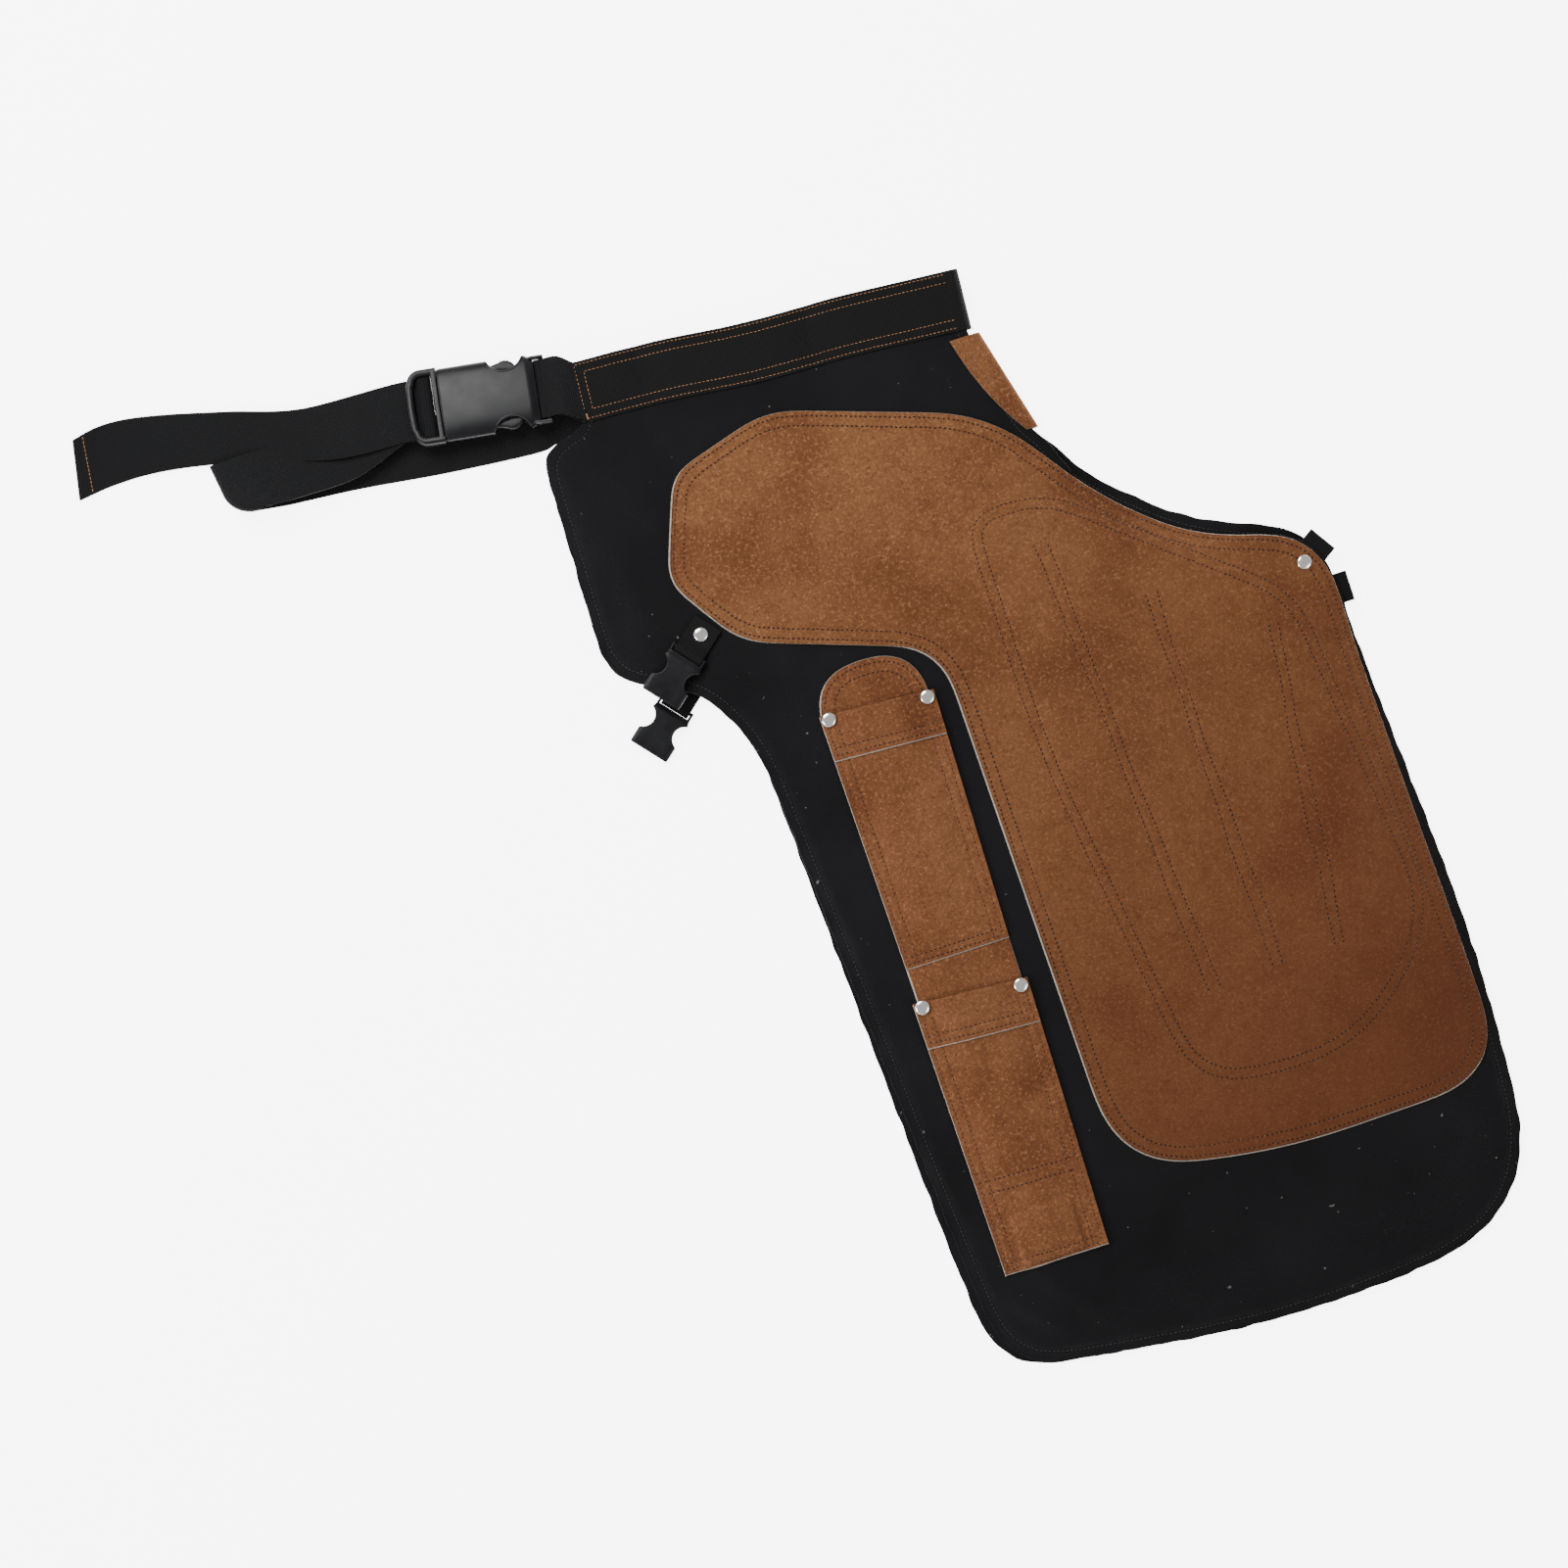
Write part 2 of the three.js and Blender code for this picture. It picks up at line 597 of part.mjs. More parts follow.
function legPlugPlace(at, rivetAt) {
  const b = legBuckle;
  const barFromOrigin = b.length + b.bevel + clearance + 0.5 * b.baseLength;
  const back = at.out - at.length - 0.5 * b.baseLength - barFromOrigin;
  const along = turned(at.turn).multiplyScalar(back);
  return { x: rivetAt[0] + along.x, y: rivetAt[1] + along.y, turn: at.turn };
}

const innerTop = midZ + canvasLevel;
const innerUnder = midZ - canvasLevel;
const legStraps = [
  { name: 'top', at: topStrap, rivetAt: strapRivet, face: innerTop, sign: -1 },
  { name: 'under', at: underStrap, rivetAt: underStrapRivet, face: innerUnder, sign: 1 },
];
for (const { name, at, rivetAt, face, sign } of legStraps) {
  const place = legPlugPlace(at, rivetAt);
  add(`${name}_leg_strap`, legStrap(at, rivetAt, face, sign, midZ), 'webbing');
  add(`${name}_leg_plug`, placed(plugBase(legBuckle), place, midZ), 'plastic');
  add(`${name}_leg_latch_left`, placed(latchArm(legBuckle, 1), place, midZ), 'plastic');
  add(`${name}_leg_latch_right`, placed(latchArm(legBuckle, -1), place, midZ), 'plastic');
}

// ---------------------------------------------------------------- waist buckle and belt

const beltFloor = webbing / 2 + clearance;
const buckleZ = beltFloor + webbing / 2 + clearance + waistBuckle.height / 2;
add('waistband', waistband(), 'webbing');
add('centre_patch', centrePatch(), 'suede');
add('waist_socket', placed(socket(waistBuckle), waistBuckleAt, buckleZ), 'plastic');
add('waist_plug', placed(plugBase(waistBuckle), waistBuckleAt, buckleZ), 'plastic');
add('waist_latch_left', placed(latchArm(waistBuckle, 1), waistBuckleAt, buckleZ), 'plastic');
add('waist_latch_right', placed(latchArm(waistBuckle, -1), waistBuckleAt, buckleZ), 'plastic');

// Where the waistband's outer end is, at the middle of its width.
const bandEnd = turned(180 - bandRise).multiplyScalar(waistHalf)
  .add(turned(90 - bandRise).multiplyScalar(-bandWidth / 2));

// A point in the waist buckle's own frame, as a place in the drawing.
function onBuckle(x, z) {
  const along = turned(waistBuckleAt.turn).multiplyScalar(x);
  return new THREE.Vector3(waistBuckleAt.x + along.x, waistBuckleAt.y + along.y, z);
}

// The short webbing loop that joins the socket's bar to the waistband's end.
function socketTab() {
  const radius = waistBuckle.bar + clearance + webbing / 2;
  const bandZ = midZ + foldRadius(webbing);
  const places = [bandEnd.clone().addScaledVector(turned(180 - bandRise), clearance).setZ(bandZ)];
  places.push(onBuckle(-waistBuckle.barReach - 9, buckleZ + radius + 3.2));
  for (let n = 0; n <= 8; n++) {
    const angle = Math.PI / 2 - Math.PI * n / 8;
    places.push(onBuckle(-waistBuckle.barReach + radius * Math.cos(angle),
      buckleZ + radius * Math.sin(angle)));
  }
  places.push(onBuckle(-waistBuckle.barReach - 9, buckleZ - radius + 3));
  places.push(places[0].clone().setZ(bandZ - webbing - 2 * clearance));
  const across = places.map(() => turned(waistBuckleAt.turn - 90));
  across[0] = turned(90 - bandRise);
  across[across.length - 1] = across[0];
  return strap(places, across, waistBuckle.webbingWidth - 1, webbing);
}
add('waist_socket_tab', socketTab(), 'webbing');

// A smooth strap through stations [x, y, z, direction of its width in degrees].
function routedStrap(stations, steps, width) {
  const curve = new THREE.CatmullRomCurve3(stations.map(([x, y, z]) => new THREE.Vector3(x, y, z)));
  const places = [];
  const widths = [];
  for (let n = 0; n <= steps; n++) {
    const t = n / steps * (stations.length - 1);
    const first = Math.min(Math.floor(t), stations.length - 2);
    places.push(curve.getPoint(n / steps));
    widths.push(turned(THREE.MathUtils.lerp(stations[first][3], stations[first + 1][3], t - first)));
  }
  return strap(places, widths, width, webbing);
}

// The belt from the under leg's waistband end: along the floor under the buckle, round a
// standing loop, and back to the plug.
const underBandZ = midZ - foldRadius(webbing);
const plugEnd = waistBuckle.length + waistBuckle.bevel + clearance + waistBuckle.baseLength;
const wrapLow = buckleZ - waistBuckle.bar - clearance - webbing / 2;
const runMeets = onBuckle(plugEnd + 8, wrapLow);
const loopLift = 8;
const beltStart = bandEnd.clone().addScaledVector(turned(180 - bandRise), clearance);
const beltRunStations = [
  [beltStart.x, beltStart.y, underBandZ, 90 - bandRise],
  [-waistHalf - 16, -6, 2.2, 88],
  [-waistHalf - 29, -9, beltFloor + 0.2, 91],
  [-waistHalf - 48, -11, beltFloor, 95],
  [-waistHalf - 125, -4, beltFloor, 97],
  [-waistHalf - 193, 5, beltFloor, 97],
  [-waistHalf - 271, 12, beltFloor, 98],
  [-waistHalf - 292, 15, beltFloor + 1.5, 98],
  [-waistHalf - 297, 16, beltFloor + loopLift / 2, 98],
  [-waistHalf - 292, 16, beltFloor + loopLift - 1.5, 98],
  [-waistHalf - 271, 15, beltFloor + loopLift - 1, 98],
  [-waistHalf - 193, 14, wrapLow + 0.6, 98],
  [runMeets.x - 0.3, runMeets.y, wrapLow, waistBuckleAt.turn - 90],
];
add('belt_run', routedStrap(beltRunStations, 66, bandWidth), 'webbing');

// The belt's free end: round the plug's middle bar, under its end bar, over the loop, and
// down to the floor, where its hemmed tip lifts a little.
const midBarX = waistBuckle.length + waistBuckle.bevel + clearance + 0.5 * waistBuckle.baseLength;
const wrapReach = waistBuckle.bar + clearance + webbing / 2;
const tailLow = wrapLow + webbing + clearance;
const wrapWidth = waistBuckleAt.turn - 90;
const stationOnBuckle = (x, z) => [onBuckle(x, z).x, onBuckle(x, z).y, z, wrapWidth];
const wrapStations = [270, 235, 200, 165, 130, 95, 60].map((angle) => {
  const aim = turned(angle).multiplyScalar(wrapReach);
  return stationOnBuckle(midBarX + aim.x, buckleZ + aim.y);
});
const beltTailStations = [
  stationOnBuckle(plugEnd + 7.7, wrapLow),
  ...wrapStations,
  stationOnBuckle(midBarX + 5.5, buckleZ + 0.2),
  stationOnBuckle(plugEnd, tailLow),
  stationOnBuckle(plugEnd + 10, tailLow),
  [-waistHalf - 211, 33, tailLow + 2.4, 105],
  [-waistHalf - 269, 50, tailLow + 5, 107],
  [-waistHalf - 318, 63, tailLow + 4.2, 104],
  [-waistHalf - 355, 70, 3.2, 98],
  [-waistHalf - 385, 71, 1.6, 88],
  [-waistHalf - 411, 67, 4, 78],
];
add('belt_tail', routedStrap(beltTailStations, 64, bandWidth), 'webbing');

// ---------------------------------------------------------------- origin

apron.updateMatrixWorld(true);
const box = new THREE.Box3().setFromObject(apron);
const middle = box.getCenter(new THREE.Vector3());
apron.position.set(-middle.x, -middle.y, -box.min.z);

export default apron;
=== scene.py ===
# %% [markdown]
# # A split-leg welding apron, folded in half and laid flat
#
# The real apron is black canvas with tan suede over the thigh, webbing round the waist and
# plastic side-release buckles. This lesson dresses a fixed frame of solid parts: every soft
# part is made again here as thin sheets with folds, seams and stitches, and the hard parts
# get their moulded shapes and finishes.
#
# The frame is loaded first, because every place below is measured from it.

# %% Load the frame
import math

import bpy
import numpy as np
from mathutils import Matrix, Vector
from mathutils.bvhtree import BVHTree


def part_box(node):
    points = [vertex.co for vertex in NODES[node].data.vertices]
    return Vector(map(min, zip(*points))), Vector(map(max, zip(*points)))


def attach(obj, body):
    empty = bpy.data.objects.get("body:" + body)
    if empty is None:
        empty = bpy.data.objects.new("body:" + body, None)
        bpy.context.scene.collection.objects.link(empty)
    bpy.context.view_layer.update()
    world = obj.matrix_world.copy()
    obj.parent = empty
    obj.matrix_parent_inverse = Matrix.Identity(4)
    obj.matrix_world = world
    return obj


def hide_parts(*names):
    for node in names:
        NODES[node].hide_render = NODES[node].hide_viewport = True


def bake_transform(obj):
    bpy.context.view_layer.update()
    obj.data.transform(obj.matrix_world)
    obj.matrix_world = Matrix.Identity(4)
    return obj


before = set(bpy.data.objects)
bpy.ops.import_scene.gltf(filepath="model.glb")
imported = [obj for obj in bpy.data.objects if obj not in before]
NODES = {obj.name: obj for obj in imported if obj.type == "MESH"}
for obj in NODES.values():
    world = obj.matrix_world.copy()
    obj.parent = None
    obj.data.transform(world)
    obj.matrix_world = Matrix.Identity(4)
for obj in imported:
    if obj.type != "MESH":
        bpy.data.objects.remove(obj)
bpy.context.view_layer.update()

# %% [markdown]
# The pattern of an apron is drawn from the top of its centre fold: x across the leg, y up
# towards the waist, in millimetres. The rivet that holds the leg strap has a known place on
# that pattern, so its place in the frame says where the pattern starts.

# %% Sizes, and the pattern's place in the frame
MM = 0.001
CANVAS, SUEDE, WEBBING = 1.2 * MM, 1.6 * MM, 1.3 * MM
BAND_WIDTH = 50 * MM
STITCH_PITCH = 4 * MM
STRAP_RIVET = (195, -316)


def centre(node):
    """Middle of a node's box."""
    low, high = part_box(node)
    return np.array((low + high) / 2)


FOLD_TOP = centre("top_strap_rivet")[:2] - np.array(STRAP_RIVET) * MM
MID_Z = (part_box("waistband")[0].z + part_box("waistband")[1].z) / 2


def on_pattern(points):
    """Pattern millimetres to metres in the frame."""
    return FOLD_TOP + np.asarray(points, float)[..., :2] * MM


def to_pattern(xy):
    """Metres in the frame to pattern millimetres."""
    return (np.asarray(xy) - FOLD_TOP) / MM


print("fold top", FOLD_TOP.round(4), "middle height", round(MID_Z * 1000, 2), "mm")

# %% [markdown]
# The camera looks straight down, turned so that the fold leans to the right, as a product
# is laid out for a catalogue. A long lens keeps the edges square. Three large soft lamps
# and a pale floor light it without hard shadows; the strongest is over the waist end.

# %% Camera, lamps and floor
TURN = math.radians(-18)
VIEW_CENTRE = (-0.0093, 0.0450)
VIEW_WIDTH = 1.281
LENS, SENSOR = 85, 36
CLOTH_LEVEL = 0.017
VIEW_HEIGHT = VIEW_WIDTH * LENS / SENSOR + CLOTH_LEVEL

scene = bpy.context.scene
camera_data = bpy.data.cameras.new("camera")
camera_data.lens = LENS
camera_data.clip_end = 20
camera = bpy.data.objects.new("camera", camera_data)
camera.location = (*VIEW_CENTRE, VIEW_HEIGHT)
camera.rotation_euler = (0, 0, TURN)
scene.collection.objects.link(camera)
scene.camera = camera


def lamp(name, place, size, power):
    """A square soft lamp that faces the middle of the apron."""
    data = bpy.data.lights.new(name, "AREA")
    data.size, data.energy = size, power
    lamp_object = bpy.data.objects.new(name, data)
    lamp_object.location = place
    aim = np.array([*VIEW_CENTRE, 0]) - np.array(place)
    lamp_object.rotation_euler = Vector(aim).to_track_quat("-Z", "Y").to_euler()
    scene.collection.objects.link(lamp_object)


lamp("waist_lamp", (-0.5, 1.6, 1.9), 1.3, 70)
lamp("side_lamp", (-2.0, -0.4, 1.6), 1.2, 37)
lamp("hem_lamp", (1.6, -1.5, 2.2), 1.6, 21)

world = bpy.data.worlds.new("studio")
world.use_nodes = True
world.node_tree.nodes["Background"].inputs["Color"].default_value = (1, 1, 1, 1)
world.node_tree.nodes["Background"].inputs["Strength"].default_value = 0.54
scene.world = world
print("camera height", round(VIEW_HEIGHT, 3), "m")

# %% [markdown]
# Small helpers build node materials. A picture of how a finish changes over the surface is
# made from noise at several sizes; the Principled shader itself stays in each material.

# %% Material helpers


def rgb(red, green, blue):
    """A colour named by its 0 to 255 screen values, as the linear values of a shader."""
    screen = np.array([red, green, blue]) / 255
    linear = np.where(screen <= 0.04045, screen / 12.92, ((screen + 0.055) / 1.055) ** 2.4)
    return (*linear.tolist(), 1.0)


def material(name, **sockets):
    """A material with one Principled shader, its plain sockets set by name."""
    made = bpy.data.materials.new(name)
    made.use_nodes = True
    shader = made.node_tree.nodes["Principled BSDF"]
    for key, value in sockets.items():
        shader.inputs[key.replace("_", " ")].default_value = value
    return made, made.node_tree, shader


def node(tree, kind, values=(), **settings):
    """A node with its settings, and input sockets given by name or number."""
    made = tree.nodes.new(kind)
    for key, value in settings.items():
        setattr(made, key, value)
    for key, value in dict(values).items():
        made.inputs[key].default_value = value
    return made


def feed(tree, socket, value):
    """A socket is fed by another node's output, or set to a plain value."""
    if isinstance(value, bpy.types.NodeSocket):
        tree.links.new(value, socket)
    else:
        socket.default_value = value


def noise(tree, where, scale, detail=3, rough=0.55, distortion=0.0):
    """Noise of a given scale per metre, about 0.5, read at the given coordinates."""
    made = node(tree, "ShaderNodeTexNoise",
                {"Detail": detail, "Roughness": rough, "Distortion": distortion})
    feed(tree, made.inputs["Vector"], where)
    feed(tree, made.inputs["Scale"], scale)
    return made.outputs["Fac"]


def bands(tree, where, scale, distortion, detail, way):
    """Parallel light and dark bands, which stand for the yarns of a cloth."""
    made = node(tree, "ShaderNodeTexWave",
                {"Scale": scale, "Distortion": distortion, "Detail": detail}, bands_direction=way)
    tree.links.new(where, made.inputs["Vector"])
    return made.outputs["Fac"]


def ramp(tree, value, stops):
    """Colours or greys at places between 0 and 1."""
    made = node(tree, "ShaderNodeValToRGB")
    band = made.color_ramp
    while len(band.elements) < len(stops):
        band.elements.new(0.5)
    for element, (place, colour) in zip(band.elements, stops):
        element.position, element.color = place, colour
    tree.links.new(value, made.inputs["Fac"])
    return made.outputs["Color"]


def grey(level):
    return (level, level, level, 1.0)


MIX_SHARE, MIX_FIRST, MIX_SECOND, MIX_COLOUR = 0, 6, 7, 2


def mix(tree, share, first, second):
    """Two colours mixed by a share, which is a number or an output."""
    made = node(tree, "ShaderNodeMix", data_type="RGBA")
    for number, value in ((MIX_SHARE, share), (MIX_FIRST, first), (MIX_SECOND, second)):
        feed(tree, made.inputs[number], value)
    return made.outputs[MIX_COLOUR]


def math_node(tree, operation, first, second):
    made = node(tree, "ShaderNodeMath", operation=operation)
    for socket, value in zip(made.inputs, (first, second)):
        feed(tree, socket, value)
    return made.outputs[0]


def bump(tree, shader, height, distance, strength):
    """Height in metres drawn as small relief on the shader's normal."""
    made = node(tree, "ShaderNodeBump", {"Strength": strength, "Distance": distance})
    tree.links.new(height, made.inputs["Height"])
    tree.links.new(made.outputs["Normal"], shader.inputs["Normal"])


def object_place(tree):
    return node(tree, "ShaderNodeTexCoord").outputs["Object"]


def group(name, inputs, outputs):
    """An empty node group with its interface, and its input and output nodes."""
    made = bpy.data.node_groups.new(name, "ShaderNodeTree")
    for label, kind, value in inputs:
        socket = made.interface.new_socket(label, in_out="INPUT", socket_type=kind)
        if value is not None:
            socket.default_value = value
    for label, kind in outputs:
        made.interface.new_socket(label, in_out="OUTPUT", socket_type=kind)
    return made, made.nodes.new("NodeGroupInput"), made.nodes.new("NodeGroupOutput")


def use_group(tree, made, **inputs):
    """A node group placed in a tree, its inputs given by name."""
    placed = tree.nodes.new("ShaderNodeGroup")
    placed.node_tree = made
    for label, value in inputs.items():
        feed(tree, placed.inputs[label], value)
    return placed


print("material helpers ready")

# %% [markdown]
# Suede is the flesh side of a split hide. Its nap is short fibre that lies this way and
# that, so it looks mottled: broad lighter and redder clouds, a finer grain of fibre tips,
# and darker places where it has been handled. The three suede finishes of this apron
# share one node group, with a name for each thing that differs.

# %% Suede nap group
nap, nap_in, nap_out = group("suede_nap", [
    ("Place", "NodeSocketVector", None),
    ("Light", "NodeSocketColor", rgb(150, 101, 62)),
    ("Middle", "NodeSocketColor", rgb(131, 83, 49)),
    ("Dark", "NodeSocketColor", rgb(100, 55, 31)),
    ("Tip", "NodeSocketColor", rgb(170, 122, 82)),
    ("Clouds", "NodeSocketFloat", 11.0),
], [("Colour", "NodeSocketColor"), ("Height", "NodeSocketFloat"), ("Rough", "NodeSocketFloat")])
place = nap_in.outputs["Place"]
clouds = noise(nap, place, nap_in.outputs["Clouds"], 3, 0.5, 0.15)
fibres = noise(nap, place, 900, 3, 0.7)
smears = noise(nap, place, 60, 5, 0.7, 0.3)
specks = noise(nap, place, 380, 3, 0.8)
marks = noise(nap, place, 310, 4, 0.8, 0.5)
tone = nap_in.outputs["Middle"]
for field, colour, (low, low_share), (high, high_share) in (
        (clouds, "Light", (0.36, 0.0), (0.70, 0.9)), (clouds, "Dark", (0.26, 0.7), (0.50, 0.0)),
        (smears, "Dark", (0.42, 0.0), (0.75, 0.4)), (specks, "Tip", (0.52, 0.0), (0.68, 0.75)),
        (marks, "Dark", (0.34, 0.65), (0.47, 0.0)), (fibres, "Dark", (0.30, 0.5), (0.52, 0.0))):
    share = ramp(nap, field, [(low, grey(low_share)), (high, grey(high_share))])
    tone = mix(nap, share, tone, nap_in.outputs[colour])
nap.links.new(tone, nap_out.inputs["Colour"])
relief = math_node(nap, "ADD", fibres, math_node(nap, "MULTIPLY", smears, 0.6))
nap.links.new(relief, nap_out.inputs["Height"])
nap.links.new(ramp(nap, smears, [(0.3, grey(0.86)), (0.7, grey(0.98))]), nap_out.inputs["Rough"])
print("suede group nodes", len(nap.nodes))

# %% [markdown]
# Each suede finish gives the nap its colours. The thigh's leather is also made evenly darker from
# the hip down to the inner knee. Where suede is cut, its paler inner fibre shows.

# %% Suede finishes
# A plain colour gradient: the thigh suede grows darker along this way, from the hip down to the
# inner knee.
DARKENING_LENGTH = 0.68
DARKENING_WAY = (0.48 / DARKENING_LENGTH, -0.876 / DARKENING_LENGTH, 0)
DARKENING_FROM = 0.1
DARKENING_START = float(FOLD_TOP @ np.array(DARKENING_WAY[:2])) + DARKENING_FROM


def suede(name, light, middle, dark, tip, cloud=9.0, darkening=0.0):
    """A suede finish: nap colours, soft sheen at grazing angles, fibre relief. darkening is how
    much darker the leather is made from the hip down to the inner knee."""
    made, tree, shader = material(name, Sheen_Weight=0.12, Sheen_Roughness=0.6,
                                  Specular_IOR_Level=0.08)
    shader.inputs["Sheen Tint"].default_value = rgb(226, 178, 132)
    where = object_place(tree)
    nap_node = use_group(tree, nap, Place=where, Light=light, Middle=middle, Dark=dark, Tip=tip,
                         Clouds=cloud)
    colour = nap_node.outputs["Colour"]
    if darkening:
        down = node(tree, "ShaderNodeVectorMath", {1: DARKENING_WAY}, operation="DOT_PRODUCT")
        tree.links.new(where, down.inputs[0])
        share = math_node(tree, "SUBTRACT", down.outputs["Value"], DARKENING_START)
        colour = mix(tree, ramp(tree, share, [(0.0, grey(0)), (1.0, grey(darkening))]), colour, dark)
    tree.links.new(colour, shader.inputs["Base Color"])
    tree.links.new(nap_node.outputs["Rough"], shader.inputs["Roughness"])
    bump(tree, shader, nap_node.outputs["Height"], 0.00045, 0.8)
    return made


def cut_edge(name):
    """The cut edge of split leather: pale grey-beige fibre."""
    made, tree, shader = material(name, Roughness=0.9, Specular_IOR_Level=0.15)
    fibre = noise(tree, object_place(tree), 700, 4, 0.7)
    tree.links.new(ramp(tree, fibre, [(0.3, rgb(112, 98, 88)), (0.6, rgb(170, 160, 150))]),
                   shader.inputs["Base Color"])
    bump(tree, shader, fibre, 0.0003, 0.5)
    return made


THIGH_SUEDE = suede("thigh_suede", rgb(119, 80, 50), rgb(105, 67, 41), rgb(72, 36, 21),
                    rgb(150, 106, 72), 9.0, 0.8)
POCKET_SUEDE = suede("pocket_suede", rgb(112, 73, 47), rgb(98, 59, 36), rgb(68, 34, 20),
                     rgb(146, 100, 66), 14.0)
LINING_SUEDE = suede("lining_suede", rgb(102, 70, 48), rgb(86, 57, 38), rgb(62, 38, 25),
                     rgb(120, 88, 64))
SUEDE_EDGE = cut_edge("suede_cut_edge")
print("suede finishes ready")

# %% [markdown]
# The canvas is a black cotton duck. It drinks nearly all light, so what the eye reads is
# its plain weave, a faint sheen, and pale lint that sticks to it. Lint is rare: a noise
# with only its highest peaks kept.

# %% Canvas and webbing finishes
BLACK_CANVAS, tree, shader = material("black_canvas", Roughness=0.9, Specular_IOR_Level=0.12,
                                      Sheen_Weight=0.02, Sheen_Roughness=0.5)
where = object_place(tree)
weave = math_node(tree, "MULTIPLY", *(bands(tree, where, 230, 0.6, 1.0, way) for way in "XY"))
fade = noise(tree, where, 9, 4, 0.6)
cloth = ramp(tree, fade, [(0.35, rgb(12, 11, 13)), (0.65, rgb(18, 17, 19))])
lint = ramp(tree, noise(tree, where, 210, 2, 0.4), [(0.755, grey(0)), (0.80, grey(0.55))])
tree.links.new(mix(tree, lint, cloth, rgb(120, 118, 116)), shader.inputs["Base Color"])
bump(tree, shader, weave, 0.0003, 0.5)


def webbing_finish(name, low, high, rib_scale):
    """Woven webbing: ribs across it and yarn lines along it, read from its own UV map,
    whose units are metres across and along."""
    made, tree, shader = material(name, Roughness=0.78, Specular_IOR_Level=0.14)
    uv = node(tree, "ShaderNodeUVMap", uv_map="strap").outputs["UV"]
    ribs = bands(tree, uv, rib_scale, 0.8, 1.5, "Y")
    yarns = bands(tree, uv, 150, 0.5, 1.0, "X")
    height = math_node(tree, "ADD", ribs, math_node(tree, "MULTIPLY", yarns, 0.6))
    tree.links.new(ramp(tree, height, [(0.2, low), (1.0, high)]), shader.inputs["Base Color"])
    bump(tree, shader, height, 0.0004, 0.6)
    return made


BELT_WEB = webbing_finish("belt_webbing", rgb(7, 7, 8), rgb(15, 15, 17), 170)
BAND_WEB = webbing_finish("waistband_webbing", rgb(6, 5, 6), rgb(15, 14, 15), 150)
print("cloth finishes ready")

# %% [markdown]
# The buckles are moulded acetal or nylon: dark grey, satin on the big faces, with a very
# fine spark texture. The rivets are polished nickel with a little handling haze, and the
# magnets are plain iron. Threads are polyester: tan on the suede, orange on the waistband
# and the belt, dark on the hems.

# %% Plastic, metal and thread finishes


def moulded(name, colour, low, high):
    """Satin moulded plastic: fine relief, and gloss that varies a little."""
    made, tree, shader = material(name, Specular_IOR_Level=0.20)
    where = object_place(tree)
    scuffs = noise(tree, where, 60, 5, 0.6)
    tree.links.new(ramp(tree, scuffs, [(0.3, grey(low)), (0.7, grey(high))]),
                   shader.inputs["Roughness"])
    tree.links.new(mix(tree, ramp(tree, scuffs, [(0.3, grey(0)), (0.8, grey(0.5))]), colour,
                       rgb(24, 24, 27)), shader.inputs["Base Color"])
    bump(tree, shader, noise(tree, where, 2500, 2, 0.5), 0.00004, 0.5)
    return made


BUCKLE_PLASTIC = moulded("buckle_plastic_satin", rgb(13, 13, 15), 0.28, 0.40)
LATCH_PLASTIC = moulded("latch_plastic_satin", rgb(11, 11, 13), 0.32, 0.44)


def metal(name, scale, roughness, colours):
    """Bare metal whose handling haze changes its roughness and colour a little."""
    made, tree, shader = material(name, Metallic=1.0)
    haze = noise(tree, object_place(tree), scale, 4, 0.6)
    tree.links.new(ramp(tree, haze, roughness), shader.inputs["Roughness"])
    tree.links.new(ramp(tree, haze, colours), shader.inputs["Base Color"])
    return made


NICKEL = metal("polished_nickel", 350, [(0.3, grey(0.08)), (0.75, grey(0.18))],
               [(0.3, rgb(244, 242, 238)), (0.7, rgb(232, 229, 224))])
MAGNET_IRON = metal("magnet_iron", 500, [(0.3, grey(0.32)), (0.7, grey(0.5))],
                    [(0.3, rgb(120, 121, 125)), (0.7, rgb(148, 149, 152))])


def thread(name, low, high):
    """Twisted sewing thread: its strands show as light and dark along it."""
    made, tree, shader = material(name, Roughness=0.6, Specular_IOR_Level=0.3)
    twist = noise(tree, object_place(tree), 1300, 2, 0.5)
    tree.links.new(ramp(tree, twist, [(0.35, low), (0.65, high)]), shader.inputs["Base Color"])
    return made


TAN_THREAD = thread("tan_thread", rgb(58, 28, 14), rgb(136, 84, 50))
ORANGE_THREAD = thread("orange_thread", rgb(122, 78, 50), rgb(188, 134, 92))
DARK_THREAD = thread("dark_thread", rgb(30, 28, 30), rgb(62, 58, 58))
# The needle-hole discs are painted shade: a dark disc stands for the shade that falls into each
# hole.
NEEDLE_HOLE_SHADE = thread("needle_hole_shade", rgb(26, 12, 6), rgb(44, 22, 12))
print("hard finishes ready")

# %% [markdown]
# Meshes are made from whole arrays of points and faces. One helper puts them in Blender
# and says which body of the frame the piece rides on, which finish slot it belongs to and
# which plain solids it stands for.

# %% Mesh helpers


def mesh_of(name, points, faces):
    """A mesh from an (n, 3) array and a list of (m, k) face arrays, and its corner list."""
    counts = np.concatenate([np.full(len(f), f.shape[1]) for f in faces])
    corners = np.concatenate([np.asarray(f).ravel() for f in faces]).astype(np.int32)
    mesh = bpy.data.meshes.new(name)
    mesh.vertices.add(len(points))
    mesh.vertices.foreach_set("co", np.asarray(points, np.float32).ravel())
    mesh.loops.add(len(corners))
    mesh.loops.foreach_set("vertex_index", corners)
    mesh.polygons.add(len(counts))
    starts = np.concatenate([[0], np.cumsum(counts)[:-1]]).astype(np.int32)
    mesh.polygons.foreach_set("loop_start", starts)
    mesh.update(calc_edges=True)
    return mesh, corners


